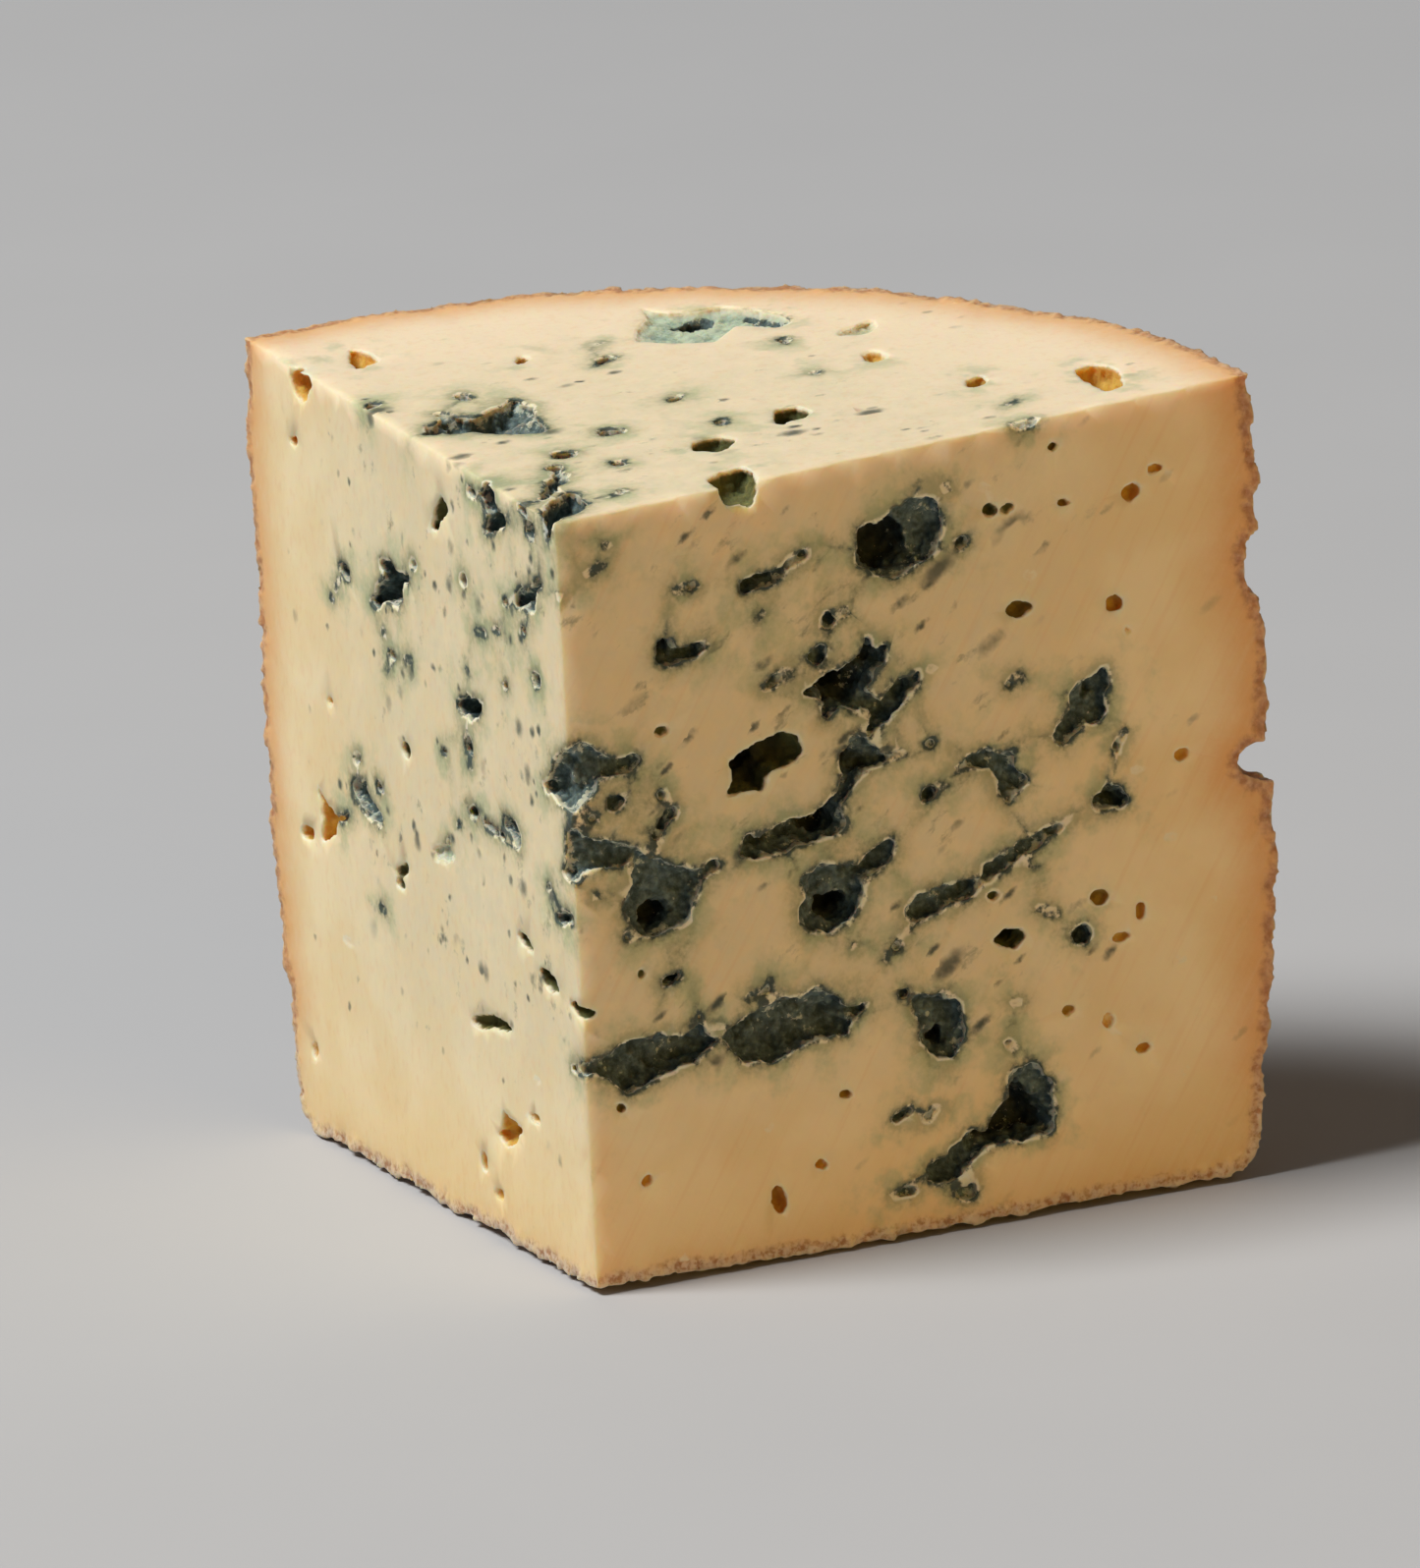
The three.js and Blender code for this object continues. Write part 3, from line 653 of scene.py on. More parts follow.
# %% Cut and hollow out
only(wedge)
bpy.ops.object.mode_set(mode="EDIT")
bisect((0, 0, FRONT_HEIGHT), TOP_FACING, use_fill=True, clear_outer=True)
bisect((0, 0, 0), (-1, 0, 0), use_fill=True, clear_outer=True)
bisect((0, 0, 0), (0, -1, 0), use_fill=True, clear_outer=True)
bpy.ops.object.mode_set(mode="OBJECT")

bpy.ops.object.select_all(action="DESELECT")
for cutter in (mould_cutter, scar_cutter, clean_cutter, crease_cutter):
    cutter.select_set(True)
bpy.context.view_layer.objects.active = mould_cutter
bpy.ops.object.duplicate()
bpy.ops.object.join()
all_cutters = bpy.context.active_object
finish_with(all_cutters, "REMESH", mode="VOXEL", voxel_size=CUTTER_STEP)
finish_with(wedge, "BOOLEAN", operation="DIFFERENCE", object=all_cutters, solver="EXACT")
bpy.data.objects.remove(all_cutters)
finish_with(wedge, "REMESH", mode="VOXEL", voxel_size=FINE)
print("cut and hollowed:", len(wedge.data.polygons), "faces")


def drop_chips(piece):
    """Deletes whatever has come loose from the largest connected body."""
    only(piece)
    bpy.ops.object.mode_set(mode="EDIT")
    pick(piece, lambda v: v.index == 0)
    bpy.ops.mesh.select_linked()
    mesh = bmesh.from_edit_mesh(piece.data)
    if sum(v.select for v in mesh.verts) * 2 < len(mesh.verts):
        raise ValueError("the first point isn't on the main body")
    bpy.ops.mesh.select_all(action="INVERT")
    bpy.ops.mesh.delete(type="VERT")
    bpy.ops.object.mode_set(mode="OBJECT")


drop_chips(wedge)

# %% [markdown]
# ## Skin, walls and plain paste
#
# What is done next depends on where a point lies: on rind, on the wall of a hollow, or on the flat
# that the knife left. Rind lies near the outside of the wheel, and walls lie on the cutters that
# made them. Search trees over those give each distance in millimetres.


# %% Tell the surfaces apart
SKIN_DEPTH = 5.0  # the deepest crease, in mm
UNDER_DEPTH = 2.6  # the most that the underside is drawn up, in mm
UNDER_MARGIN = 3.0  # no rind of the underside lies higher than this, in mm
TOUCH = 0.3  # a point this near to a cut face or a hollow's wall, in mm, lies on it
NEAR_HOLLOW = 1.5  # distances to hollows are looked for up to here, in mm
NEAR_RIND = 3.0  # and distances to rind


def tree_of(piece):
    """A search tree over a mesh's faces."""
    points = [v.co for v in piece.data.vertices]
    return BVHTree.FromPolygons(points, [p.vertices for p in piece.data.polygons])


def distance_to(tree, piece, limit):
    """How far each point of a piece is from a tree's faces, in mm, up to a limit in mm."""
    hits = (tree.find_nearest(v.co, limit * MM) for v in piece.data.vertices)
    return np.array([limit if hit[3] is None else hit[3] / MM for hit in hits])


def distance_to_points(chosen, piece, limit):
    """How far each point of a piece is from the nearest chosen one, in mm, up to a limit."""
    places = [v.co for v in piece.data.vertices]
    tree = KDTree(int(chosen.sum()))
    for n in np.nonzero(chosen)[0].tolist():
        tree.insert(places[n], n)
    tree.balance()
    spots = places_of(piece) / MM
    nearness = np.full(len(places), limit)
    close = np.hypot(spots[:, 0], spots[:, 1]) > RADIUS / MM - limit - SKIN_DEPTH
    close |= spots[:, 2] < limit + UNDER_MARGIN
    for n in np.nonzero(close)[0].tolist():
        nearness[n] = min(limit, tree.find(places[n])[2] / MM)
    return nearness


trees = {
    "mould": tree_of(mould_cutter),
    "scar": tree_of(scar_cutter),
    "clean": tree_of(clean_cutter),
}


def survey(piece, limit):
    """For each point: depth under the nearest cut, rind or not, and distance to each hollow."""
    spots = places_of(piece) / MM
    top = FRONT_HEIGHT / MM + CUT_RISE * (spots[:, 0] + spots[:, 1])
    under = np.minimum(np.minimum(spots[:, 0], spots[:, 1]), top - spots[:, 2])
    near = {kind: distance_to(tree, piece, limit) for kind, tree in trees.items()}
    nearest = np.minimum(np.minimum(near["mould"], near["scar"]), near["clean"])
    heights, bulges = zip(*SIDE_PROFILE)
    profile = RADIUS / MM + np.interp(spots[:, 2], heights, bulges)
    outer = np.hypot(spots[:, 0], spots[:, 1]) > profile - SKIN_DEPTH
    outer |= spots[:, 2] < UNDER_DEPTH
    rind = outer & (under > TOUCH) & (nearest > TOUCH)
    return under, rind, near, nearest


WALL_STARTS = 0.25  # how far below a cut face a hollow's wall begins, in mm
under, rind, _, nearest = survey(wedge, NEAR_HOLLOW)
walls = (under > WALL_STARTS) & (nearest < TOUCH) & ~rind
to_rind = distance_to_points(rind, wedge, NEAR_RIND)
print("points on rind:", int(rind.sum()), "on walls:", int(walls.sum()), "of", len(rind))

# %% [markdown]
# ## Grain
#
# Rind is granular: dried curd, mould and yeast make a crust of grains under a millimetre across.
# It also breaks a little where the knife comes through, so the outermost two millimetres of each
# cut face are crumbly too. The walls of the hollows are furred with mould.

# %% Roughen rind, crust and walls
skin_group = group_points(wedge, "skin", rind * 1.0)
crust_group = group_points(wedge, "crust", np.where(rind, 0, soft_step(2.0, 0.5, to_rind)))
wall_group = group_points(wedge, "walls", walls * 1.0)
displace(wedge, clouds("grain", 1.1 * MM, 2), 0.7 * MM, 0.5, skin_group)
displace(wedge, clouds("patch", 4.5 * MM, 2), 0.6 * MM, 0.55, skin_group)
displace(wedge, clouds("crumble", 2.4 * MM, 3), 1.0 * MM, 0.5, crust_group)
displace(wedge, clouds("crumb", 0.8 * MM, 2), 0.55 * MM, 0.5, crust_group)
displace(wedge, grains("felt", 0.6 * MM), -0.4 * MM, 0.4, wall_group)

# %% [markdown]
# ## Thin out what is flat
#
# A voxel remesh puts as many faces on a flat as on a furred wall. Decimate gives them back, first
# on the rind and then on the flats, each by a vertex group: a point that isn't in the group is
# never touched. An edge's length counts too, so that what is left stays even. Decimate takes
# distances of a thousandth as nothing, so it works on the mesh in millimetres, and a true flat
# would go altogether: the knife's slight unevenness has to be there before it.

# %% Uneven the cuts a little, then thin out
THINNER = 1.0
RIND_TRIANGLES = 76_000 * THINNER
FLAT_TRIANGLES = 18_000 * THINNER
MOST_TRIANGLES = 196_000 * THINNER
LENGTH_COUNTS = 0.02  # how much an edge's length counts against its shape
EVENNESS = 0.8  # the lower, the more it counts
KEEP_ROUND = 0.75  # no faces are taken this near to a hollow, in mm
CRUST_WIDTH = 1.8  # and none of a cut face this near to rind

cut_group = group_points(wedge, "cut", np.where(rind | walls, 0.0, 1.0))
displace(wedge, clouds("blade", 11 * MM, 1), 0.24 * MM, 0.5, cut_group)
displace(wedge, clouds("drag", 1.6 * MM, 2), 0.07 * MM, 0.5, cut_group)


def triangles_in(piece, chosen=None):
    """How many triangles a mesh comes to, or only its faces whose first point is chosen."""
    faces = piece.data.polygons
    return sum(len(p.vertices) - 2 for p in faces if chosen is None or chosen[p.vertices[0]])


def thin_out(piece, name, chosen, goal):
    """Thins out what lies between the chosen points until about this many triangles are left."""
    weights = group_points(piece, name, chosen * EVENNESS)
    inside = triangles_in(piece, chosen)
    total = triangles_in(piece)
    finish_with(
        piece,
        "DECIMATE",
        ratio=(total - max(0, inside - goal)) / total,
        vertex_group=weights,
        vertex_group_factor=LENGTH_COUNTS,
    )
    print(name, "thinned from", inside, "triangles to", inside + triangles_in(piece) - total)


wedge.data.transform(Matrix.Scale(1 / MM, 4))
thin_out(wedge, "rind_thinned", rind & (nearest > KEEP_ROUND), RIND_TRIANGLES)
wedge.data.transform(Matrix.Scale(MM, 4))
_, rind, _, nearest = survey(wedge, NEAR_HOLLOW)
flat = (nearest > KEEP_ROUND) & (distance_to_points(rind, wedge, NEAR_RIND) > CRUST_WIDTH)
wedge.data.transform(Matrix.Scale(1 / MM, 4))
thin_out(wedge, "flat_thinned", flat, FLAT_TRIANGLES)
finish_with(wedge, "DECIMATE", ratio=min(1, MOST_TRIANGLES / triangles_in(wedge)))
wedge.data.transform(Matrix.Scale(MM, 4))
print("thinned out:", triangles_in(wedge), "triangles")


# %% [markdown]
# ## What each point knows about itself
#
# The finish follows the shape, so every point of the thinned skin is surveyed once more and keeps
# what it learns as attributes: how far it is from rind and from each kind of hollow, how deep it
# lies under the cut, and whether it stands proud of its neighbours or lies between them. Distances
# are in millimetres. Blue mould grows in the heart of a wheel and thins out towards the rind and
# the underside, so each point also knows how rich in veins the paste is there.


# %% Survey and turn into place
FAR = 14.0  # distances to rind are kept up to here
REACH = 4.0  # distances to hollows up to here
DEEP = 8.0  # and depths under a cut face
SMOOTHING = 6  # rounds of smoothing that tell what stands proud


def keep(piece, name, values):
    """Stores one number for each point of a mesh under a name that materials can read."""
    layer = piece.data.attributes.new(name, "FLOAT", "POINT")
    layer.data.foreach_set("value", values.astype(np.float32))


def proud_of_neighbours(piece, rounds):
    """How far each point stands out from a smoothed copy of the mesh, in mm."""
    before = places_of(piece)
    facing = normals_of(piece)
    only(piece)
    bpy.ops.object.duplicate()
    smooth = bpy.context.active_object
    finish_with(smooth, "SMOOTH", factor=0.5, iterations=rounds)
    apart = (before - places_of(smooth)) / MM
    bpy.data.objects.remove(smooth)
    return (apart * facing).sum(axis=1)


under, rind, near, _ = survey(wedge, REACH)
spots = places_of(wedge) / MM
from_axis = np.hypot(spots[:, 0], spots[:, 1])
keep(wedge, "rind", rind * 1.0)
keep(wedge, "to_rind", np.where(rind, 0, distance_to_points(rind, wedge, FAR)))
keep(wedge, "below", np.where(rind, 0, np.clip(under, 0, DEEP)))
keep(wedge, "to_mould", near["mould"])
keep(wedge, "to_scar", near["scar"])
keep(wedge, "to_clean", near["clean"])
keep(wedge, "proud", proud_of_neighbours(wedge, SMOOTHING))
top_depth = FRONT_HEIGHT / MM + CUT_RISE * (spots[:, 0] + spots[:, 1]) - spots[:, 2]
keep(wedge, "on_top", soft_step(0.5, 0.15, top_depth))
keep(wedge, "veined", soft_step(60, 34, from_axis) * soft_step(6, 24, spots[:, 2]))

wedge.vertex_groups.clear()
for leftover in (mould_cutter, scar_cutter, clean_cutter, crease_cutter):
    bpy.data.objects.remove(leftover)
only(wedge)
bpy.ops.transform.rotate(value=-QUARTER_TURN / 2, orient_axis="Z", center_override=(0, 0, 0))
wedge.location = WHEEL_AXIS - Vector((0, 0, places_of(wedge)[:, 2].min()))
bpy.ops.object.transform_apply(location=True, rotation=True, scale=True)
bpy.ops.object.shade_smooth()
print("wedge stands from", tuple(round(v, 1) for v in places_of(wedge).min(axis=0) / MM))

# %% [markdown]
# ## Shader sums as plain expressions
#
# One small class wraps a shader socket. Arithmetic on it adds Math nodes, and `node` adds any
# other node from its type, its settings and what goes into its sockets, so that a finish can be
# written down the way one would explain it. `rise` turns a distance into a soft mask, and `blend`
# lays one colour over another by such a mask.


# %% A socket that can do sums
MIX_FIRST, MIX_SECOND, MIX_RESULT = 6, 7, 2  # the sockets of a Mix node that carry colours
COLOUR = 1  # the output of a noise or a cell texture that is a colour


class Signal:
    """A shader socket in a material, with arithmetic."""

    def __init__(self, tree, socket):
        self.tree = tree
        self.socket = socket

    def node(self, kind, settings=None, inputs=None, output=0):
        """Adds a node with these settings and inputs, and gives one of its outputs."""
        made = self.tree.nodes.new(kind)
        for name, setting in (settings or {}).items():
            setattr(made, name, setting)
        for name, given in (inputs or {}).items():
            if isinstance(given, Signal):
                self.tree.links.new(given.socket, made.inputs[name])
            else:
                made.inputs[name].default_value = given
        return Signal(self.tree, made.outputs[output])

    def sum(self, operation, *others):
        inputs = dict(enumerate((self, *others)))
        return self.node("ShaderNodeMath", {"operation": operation}, inputs)

    def __add__(self, other):
        return self.sum("ADD", other)

    def __sub__(self, other):
        return self.sum("SUBTRACT", other)

    def __mul__(self, other):
        return self.sum("MULTIPLY", other)

    def __rsub__(self, other):
        return (self * -1) + other

    __radd__ = __add__
    __rmul__ = __mul__

    def least(self, other):
        return self.sum("MINIMUM", other)

    def most(self, other):
        return self.sum("MAXIMUM", other)

    def rise(self, start, end):
        """0 below start and 1 above end, with soft ends. It falls where end is the lower."""
        settings = {"interpolation_type": "SMOOTHSTEP"}
        low, high, flip = (start, end, False) if start < end else (end, start, True)
        inputs = {"Value": self, "From Min": low, "From Max": high}
        if flip:
            inputs.update({"To Min": 1.0, "To Max": 0.0})
        return self.node("ShaderNodeMapRange", settings, inputs)

    def blend(self, first, second):
        """Goes from one colour to another as this signal goes from 0 to 1."""
        colours = [c if isinstance(c, Signal) else (*c, 1.0) for c in (first, second)]
        inputs = {0: self, MIX_FIRST: colours[0], MIX_SECOND: colours[1]}
        return self.node("ShaderNodeMix", {"data_type": "RGBA"}, inputs, MIX_RESULT)

    def noise(self, size, detail, roughness=0.5, output=0):
        """Cloudy noise over these coordinates, with lumps of about this size."""
        inputs = {"Vector": self, "Scale": 1 / size, "Detail": detail, "Roughness": roughness}
        return self.node("ShaderNodeTexNoise", {}, inputs, output)

    def channel(self, number):
        """One channel of a colour."""
        return self.node("ShaderNodeSeparateColor", {}, {"Color": self}, output=number)

    def cells(self, size, output=0):
        """Distance to the nearest of scattered points this far apart, in shares of that size."""
        return self.node("ShaderNodeTexVoronoi", {}, {"Vector": self, "Scale": 1 / size}, output)

    def stretched(self, turn, size):
        """These coordinates, turned and then squeezed, so that a pattern on them is drawn out."""
        turned = self.node(
            "ShaderNodeMapping", {"vector_type": "TEXTURE"}, {"Vector": self, "Rotation": turn}
        )
        return turned.node("ShaderNodeMapping", {}, {"Vector": turned, "Scale": size})

    def shifted(self, by, amount):
        """These coordinates, pushed about by a colour's three channels."""
        centred = self.node(
            "ShaderNodeVectorMath", {"operation": "SUBTRACT"}, {0: by, 1: (0.5, 0.5, 0.5)}
        )
        scaled = self.node(
            "ShaderNodeVectorMath", {"operation": "SCALE"}, {0: centred, "Scale": amount}
        )
        return self.node("ShaderNodeVectorMath", {"operation": "ADD"}, {0: self, 1: scaled})


def new_material(name):
    """An empty material, its shader node and its object coordinates."""
    material = bpy.data.materials.new(name)
    material.use_nodes = True
    tree = material.node_tree
    shader = tree.nodes["Principled BSDF"]
    coordinates = tree.nodes.new("ShaderNodeTexCoord")
    return material, shader, Signal(tree, coordinates.outputs["Object"])


# %% [markdown]
# ## Paste, mould and rind
#
# A cheese has no paint on it, and most colours here are there because of what grew. The paste is a
# warm ivory that lets light in, so it has subsurface scattering. Round the mouldy hollows it is
# stained green, and peppered where the curd was open. Low down it is more golden, and within a few
# millimetres of the rind it dries to an orange tan. The rind itself is brick pink under white and
# grey bloom, and its broken edge shows as brown and pink crumbs on the cut faces. Some colour is
# painted light: the top face is painted paler as if more brightly lit, the depths of the hollows
# are painted black with shade, and a pale line on their rims is partly a painted highlight.

# %% Colours
PASTE = (0.81, 0.63, 0.34)
PASTE_PALE = (0.86, 0.71, 0.43)
# the top face's paste, painted paler as if it were more brightly lit
PASTE_TOP_PAINTED_LIGHT = (0.86, 0.71, 0.50)
PASTE_GREY = (0.71, 0.62, 0.41)
PASTE_GOLD = (0.80, 0.58, 0.27)
PASTE_TAN = (0.72, 0.37, 0.13)
CRUST_BROWN = (0.36, 0.16, 0.07)
CRUST_PINK = (0.60, 0.38, 0.25)
# pale paste, for knife marks and rims, also used as a painted highlight where a rim catches the light
PALE_PASTE_AND_HIGHLIGHT = (0.80, 0.72, 0.52)
STAIN = (0.42, 0.40, 0.22)
STAIN_DARK = (0.085, 0.11, 0.07)
SPECK = (0.045, 0.062, 0.048)
# painted shade: the near black given to the depths of hollows
MOULD_IN_PAINTED_SHADE = (0.010, 0.014, 0.011)
MOULD_DARK = (0.040, 0.062, 0.056)
MOULD_GREY = (0.16, 0.22, 0.21)
# pale mould crumbs, also used as a painted highlight on the lip of mouldy hollows
MOULD_PALE_AND_HIGHLIGHT = (0.52, 0.54, 0.42)
SCAR_TEAL = (0.20, 0.28, 0.22)
SCAR_GREEN = (0.46, 0.54, 0.38)
GREEN = (0.34, 0.42, 0.23)
GREEN_DEEP = (0.17, 0.22, 0.12)
AMBER = (0.70, 0.42, 0.08)
OLIVE = (0.12, 0.12, 0.035)
RIND_PINK = (0.55, 0.32, 0.20)
RIND_ORANGE = (0.46, 0.20, 0.075)
BLOOM_WHITE = (0.74, 0.64, 0.52)
BLOOM_GREY = (0.24, 0.205, 0.17)
RIND_DARK = (0.09, 0.05, 0.035)

SPECKS = [
    # (size, share of them that shows, strength)
    (1.7 * MM, 0.22, 0.95),
    (1.1 * MM, 0.11, 0.9),
    (2.8 * MM, 0.26, 0.85),
]


# %% The finish of the whole wedge
def cheese():
    """One material for all of it, blended by what each point knows of itself."""
    material, shader, at = new_material("cheese")

    def known(name):
        return at.node("ShaderNodeAttribute", {"attribute_name": name}, output=2)

    rind_here, to_rind, below = known("rind"), known("to_rind"), known("below")
    to_mould, to_scar, to_clean = known("to_mould"), known("to_scar"), known("to_clean")
    proud, veined, on_top = known("proud"), known("veined"), known("on_top")
    to_hollow = to_mould.least(to_scar).least(to_clean)
    wall = below.rise(0.13, 0.22) * to_hollow.rise(0.9, 0.6)

    coarse = at.noise(9 * MM, 3)
    middling = at.noise(2.2 * MM, 4, 0.6)
    fine = at.noise(0.5 * MM, 3, 0.6)
    ragged = (middling - 0.5) * 1.6 + (fine - 0.5) * 1.2

    # paste: ivory, paler and greyer by turns, golden low down, tan and then crumbly by the rind
    paste = coarse.rise(0.38, 0.66).blend(PASTE, PASTE_PALE)
    # painted light: the top face is painted paler and less golden, as if lit more brightly than the sides
    paste = (on_top * 0.9).blend(paste, PASTE_TOP_PAINTED_LIGHT)
    paste = (veined * (middling.rise(0.30, 0.70) * 0.5 + 0.4)).blend(paste, PASTE_GREY)
    height = at.node("ShaderNodeSeparateXYZ", {}, {"Vector": at}, output=2)
    low_down = height.rise(14 * MM, 3 * MM)
    paste = (low_down * 0.5).blend(paste, PASTE_GOLD)
    tan = (to_rind + low_down * 3.0 + ragged * 0.8).rise(9.0, 0.0)
    paste = (tan * tan * 0.9).blend(paste, PASTE_TAN)
    crust = (proud * 1.5 + fine * 0.6 + middling * 0.4).rise(0.35, 0.75).blend(CRUST_BROWN, CRUST_PINK)
    crust = (low_down * (fine + proud).rise(0.35, 0.6) * 0.6).blend(crust, BLOOM_WHITE)
    paste = ((to_rind + ragged * 0.7).rise(1.5, 0.5) * 0.9).blend(paste, crust)

    # knife marks, drawn out along the stroke
    stroke = at.stretched((0, math.radians(-58), QUARTER_TURN / 2), (0.05, 1, 1))
    drag = stroke.noise(0.7 * MM, 2)
    paste = (drag.rise(0.52, 0.72) * 0.14).blend(paste, PASTE_TAN)
    paste = (drag.rise(0.46, 0.26) * 0.10).blend(paste, PALE_PASTE_AND_HIGHLIGHT)

    # the stain round a mouldy hollow, green round it, broken dark lines on its rim, and a broken pale line
    # that is partly pale paste and partly a painted highlight
    halo = (to_mould + ragged * 1.1).rise(2.4, 0.0)
    paste = (halo * (0.25 + veined * 0.3)).blend(paste, STAIN)
    greened = to_mould.least(to_clean + (1 - on_top) * 9)
    green = (greened + ragged * 2.0).rise(4.0, 0.5) * at.noise(3.4 * MM, 3).rise(0.48, 0.64)
    paste = (green * 0.5).blend(paste, GREEN)
    seep = (to_mould + ragged * 1.1).rise(1.3, 0.0)
    paste = (seep * 0.42).blend(paste, GREEN_DEEP)
    dark_line = (to_mould + ragged * 0.7).rise(0.8, 0.1) * middling.rise(0.43, 0.57)
    paste = (dark_line * 0.85).blend(paste, STAIN_DARK)
    # painted highlight along the rim of every hollow, over a pale lip of paste
    pale_lip_and_highlight = (to_hollow + (fine - 0.5) * 0.3).rise(0.34, 0.10) * middling.rise(0.56, 0.44)
    paste = (pale_lip_and_highlight * 0.85).blend(paste, PALE_PASTE_AND_HIGHLIGHT)
    spill = (to_mould + ragged * 0.4).rise(0.34, 0.16) * middling.rise(0.44, 0.54)
    paste = (spill * 0.9).blend(paste, MOULD_DARK)

    # peppering: specks and short smears, where the paste is veined
    smear = at.stretched((0, math.radians(-35), QUARTER_TURN / 2), (0.4, 1, 1))
    smear = smear.shifted(at.noise(0.8 * MM, 3, output=COLOUR), 0.6 * MM)
    patches = at.noise(7 * MM, 3)
    pepper = veined * patches.rise(0.40, 0.62) * (1 - on_top * 0.5)
    for size, share, darkness in SPECKS:
        lot = smear.cells(size, COLOUR).channel(0)
        here = smear.cells(size).rise(0.40, 0.08) * (lot - pepper * share).rise(0.03, -0.03)
        paste = (here * darkness).blend(paste, SPECK)
    smudge = smear.noise(1.8 * MM, 4, 0.65)
    paste = ((smudge + pepper * 0.12).rise(0.66, 0.84) * veined * 0.6).blend(paste, STAIN_DARK)

    # walls of mouldy hollows: dark felt on the floors, painted shade that turns the depths black, pale
    # crumbs by the rim
    depth = below.rise(1.7, 3.8)
    felt = (fine * 0.5 + middling * 0.5 + proud * 0.8).rise(0.32, 0.72)
    lining = felt.blend(MOULD_DARK, MOULD_GREY)
    # painted shade: the deeper a wall lies under the cut, the nearer to black it is painted
    lining = (depth * 0.85).blend(lining, MOULD_IN_PAINTED_SHADE)
    shallow = below.rise(1.5, 0.2)
    crumb = at.noise(0.6 * MM, 4, 0.7) + shallow * 0.20 + proud * 0.3 + (middling - 0.5) * 0.8
    lining = (crumb.rise(0.64, 0.74) * 0.8).blend(lining, MOULD_PALE_AND_HIGHLIGHT)
    # a broken pale lip along the rim, partly pale crumbs and partly a painted highlight where it catches
    # the light
    lip_and_highlight = (below + ragged * 0.3).rise(0.7, 0.25) * middling.rise(0.60, 0.46)
    lining = (lip_and_highlight * 0.85).blend(lining, MOULD_PALE_AND_HIGHLIGHT)

    # grazed gaps: teal and green, with the paste showing through by their rims
    scar = (fine * 0.4 + middling * 0.6).rise(0.35, 0.60).blend(SCAR_TEAL, SCAR_GREEN)
    scar = ((below + ragged * 0.5).rise(0.8, 0.2) * 0.7).blend(scar, PALE_PASTE_AND_HIGHLIGHT)

    # walls of clean eyes: amber, or olive where the paste is veined, with painted shade that turns the
    # depths black there
    eye = (veined * 0.9 + (coarse - 0.5)).rise(0.2, 0.8).blend(AMBER, OLIVE)
    eye = (depth * veined * 0.9).blend(eye, MOULD_IN_PAINTED_SHADE)
    eye = (below + ragged * 0.3).rise(0.6, 0.15).blend(eye, paste)

    is_clean = (to_mould - to_clean).rise(-0.05, 0.1)
    is_scar = (to_mould - to_scar).rise(-0.05, 0.1)
    hollow = is_clean.blend(is_scar.blend(lining, scar), eye)
    colour = wall.blend(paste, hollow)

    # rind: brick pink, bare orange in places, bloomed white, grey in the folds
    girdle = at.stretched((0, 0, 0), (0.6, 0.6, 1.5))
    skin = at.noise(9 * MM, 3).rise(0.30, 0.70).blend(RIND_PINK, RIND_ORANGE)
    bloom = girdle.noise(6 * MM, 6, 0.7) + proud * 0.7 + (fine - 0.5) * 0.25
    skin = (bloom.rise(0.40, 0.66) * 0.9).blend(skin, BLOOM_WHITE)
    grey = girdle.noise(11 * MM, 6, 0.7) - proud * 0.7 + (fine - 0.5) * 0.3
    skin = (grey.rise(0.50, 0.74) * 0.75).blend(skin, BLOOM_GREY)
    pits = (proud * -1 + (fine - 0.5) * 0.3).rise(0.12, 0.30)
    skin = (pits * 0.75).blend(skin, RIND_DARK)
    colour = rind_here.rise(0.3, 0.7).blend(colour, skin)

    # roughness and fine relief
    roughness = 0.46 + fine * 0.12 + halo * 0.08
    roughness = roughness.most(wall * 0.85).most(rind_here * 0.88)
    grain = fine * 0.05 + drag * 0.10
    grain = grain * (1 - rind_here) * (1 - wall)
    grain = grain + at.noise(0.28 * MM, 3, 0.7) * (wall.most(rind_here) * 0.55)
    relief = {"Height": grain, "Distance": 0.3 * MM, "Strength": 0.8}
    bump = at.node("ShaderNodeBump", {}, relief)

    links = at.tree.links
    links.new(colour.socket, shader.inputs["Base Color"])
    links.new(roughness.socket, shader.inputs["Roughness"])
    links.new(bump.socket, shader.inputs["Normal"])
    shader.inputs["Specular IOR Level"].default_value = 0.35
    shader.inputs["Subsurface Weight"].default_value = 0.6
    shader.inputs["Subsurface Radius"].default_value = (1.0, 0.5, 0.2)
    shader.inputs["Subsurface Scale"].default_value = 3.0 * MM
    return material


wedge.data.materials.append(cheese())
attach(wedge, "root")
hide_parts("cheese_wedge")
wedge.name = "cheese_wedge_finished"
print("material nodes:", len(wedge.active_material.node_tree.nodes))

# %% [markdown]
# ## Table, light and camera
#
# The wedge stands alone on a plain pale floor. One broad soft light hangs to the left, above and a
# little in front, so the top is brightest, the left face bright and the right face in soft shade. A
# weak warm light from the right stands for what a pale table gives back.

# %% Floor
bpy.ops.object.select_all(action="DESELECT")
bpy.ops.mesh.primitive_plane_add(size=6, location=(0, 0, low.z))
floor = bpy.context.active_object
floor.name = "floor"


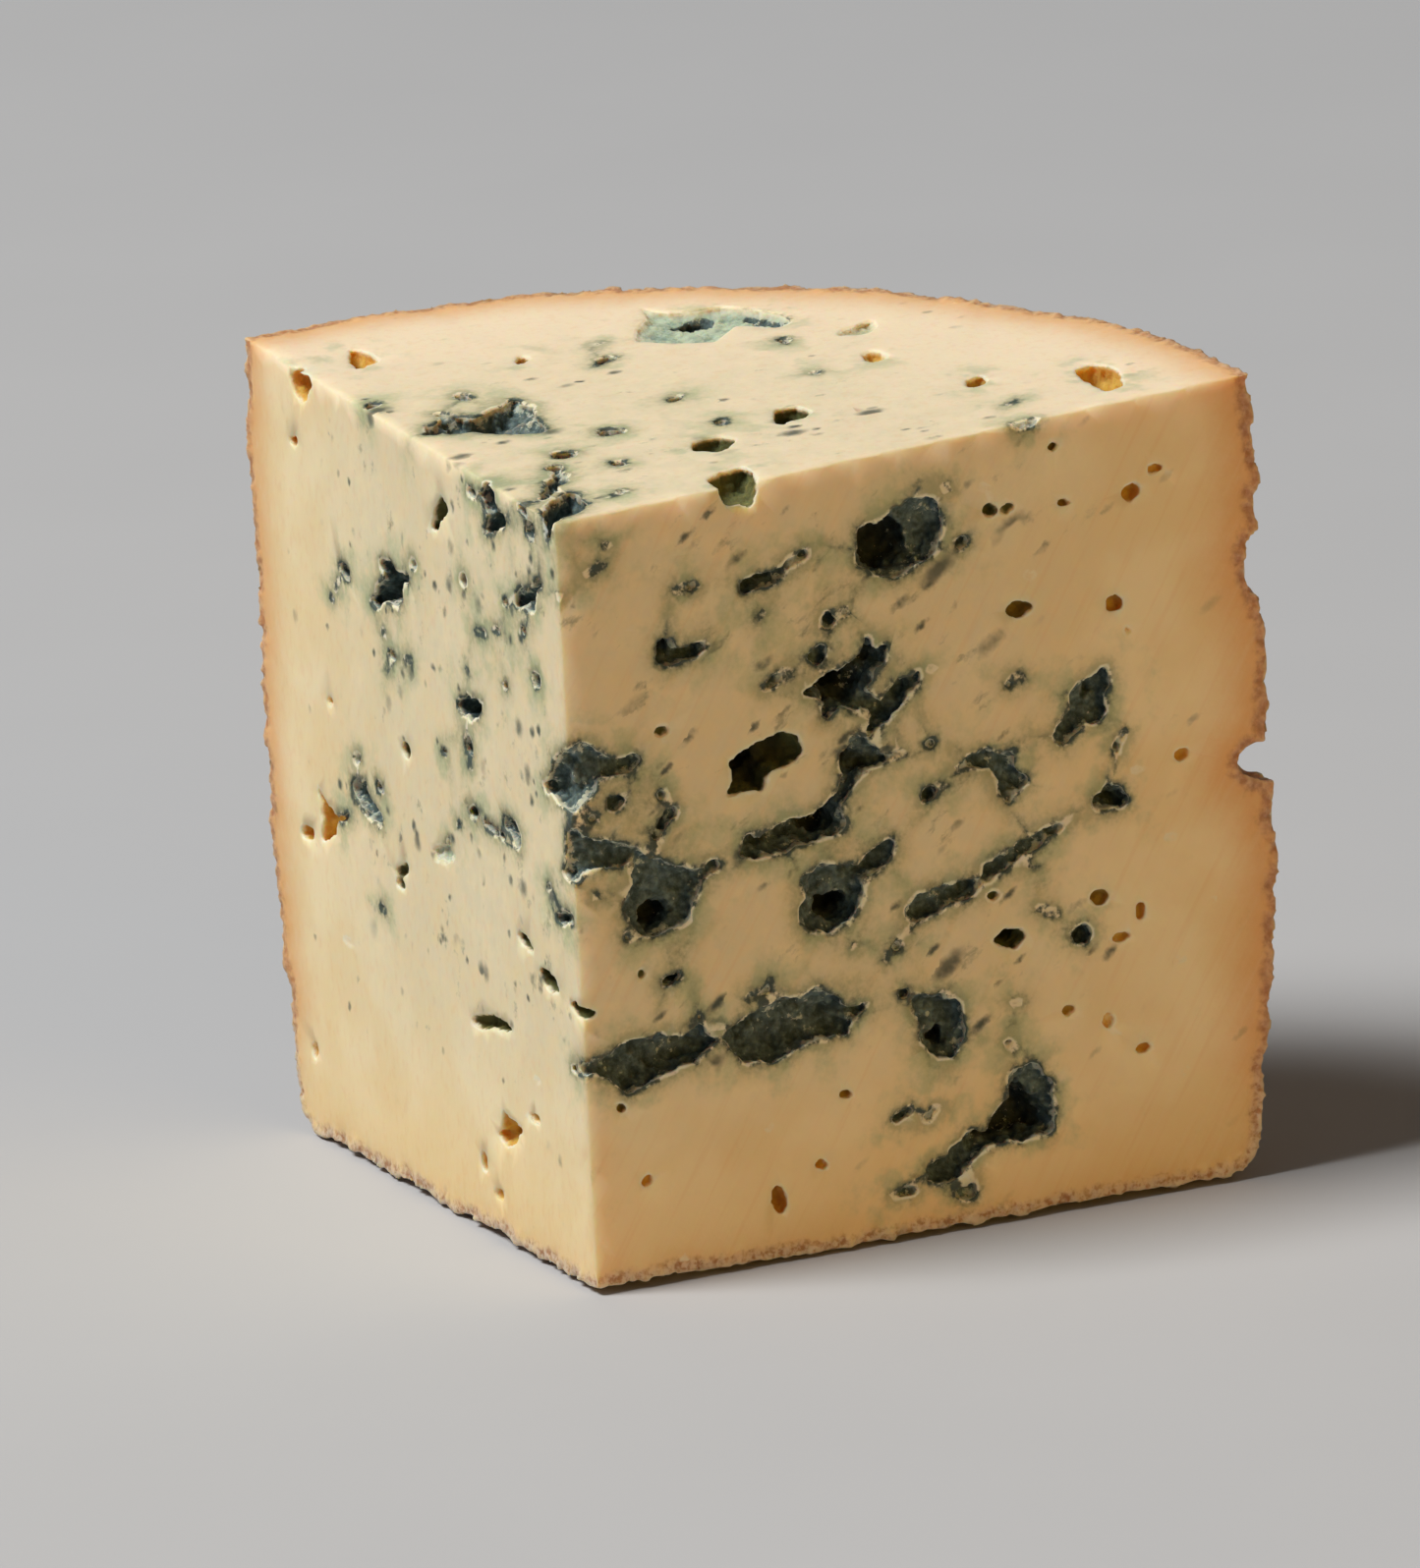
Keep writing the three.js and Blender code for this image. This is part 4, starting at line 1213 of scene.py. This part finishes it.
def pale_floor():
    """A matt pale grey with a barely visible grain."""
    material, shader, at = new_material("pale_floor")
    tone = at.noise(40 * MM, 3).blend((0.46, 0.465, 0.47), (0.48, 0.485, 0.49))
    at.tree.links.new(tone.socket, shader.inputs["Base Color"])
    shader.inputs["Roughness"].default_value = 0.9
    shader.inputs["Specular IOR Level"].default_value = 0.1
    return material


floor.data.materials.append(pale_floor())

# %% Lights
MIDDLE = Vector((0, 0, low.z + HEIGHT / 2))


def soft_light(name, way, away, size, power, colour):
    """A square light of this size, this far off in this direction, that faces the wedge."""
    lamp = bpy.data.lights.new(name, "AREA")
    lamp.size = size
    lamp.energy = power
    lamp.color = colour
    holder = bpy.data.objects.new(name, lamp)
    bpy.context.scene.collection.objects.link(holder)
    towards = Vector(way).normalized()
    holder.location = MIDDLE + towards * away
    holder.rotation_euler = towards.to_track_quat("Z", "Y").to_euler()


soft_light("key", way=(-0.45, -0.33, 0.88), away=2.4, size=0.9, power=68, colour=(1.0, 0.99, 0.98))
soft_light("fill", way=(0.85, -0.55, 0.14), away=1.3, size=0.5, power=4.6, colour=(1.0, 0.54, 0.06))
world = bpy.data.worlds.new("studio")
bpy.context.scene.world = world
world.use_nodes = True
sky = world.node_tree.nodes["Background"].inputs
sky["Color"].default_value = (0.9, 0.93, 1.0, 1)
sky["Strength"].default_value = 0.08

# %% Camera
AZIMUTH, ELEVATION, LEAN = math.radians(21), math.radians(14.9), math.radians(3.1)
AWAY = 1.63
VIEW_HEIGHT = 0.134  # what the camera takes in at the wedge, from top to bottom
SENSOR = 36  # mm
back = Vector(
    (
        math.sin(AZIMUTH) * math.cos(ELEVATION),
        -math.cos(AZIMUTH) * math.cos(ELEVATION),
        math.sin(ELEVATION),
    )
)
camera = bpy.data.objects.new("camera", bpy.data.cameras.new("camera"))
bpy.context.scene.collection.objects.link(camera)
camera.data.sensor_width = SENSOR
camera.data.lens = SENSOR * AWAY / VIEW_HEIGHT
camera.data.clip_start = 0.01
camera.location = MIDDLE + back * AWAY
camera.rotation_mode = "QUATERNION"
camera.rotation_quaternion = (-back).to_track_quat("-Z", "Y") @ Quaternion((0, 0, 1), -LEAN)
bpy.context.scene.camera = camera
bpy.context.scene.view_settings.view_transform = "Standard"
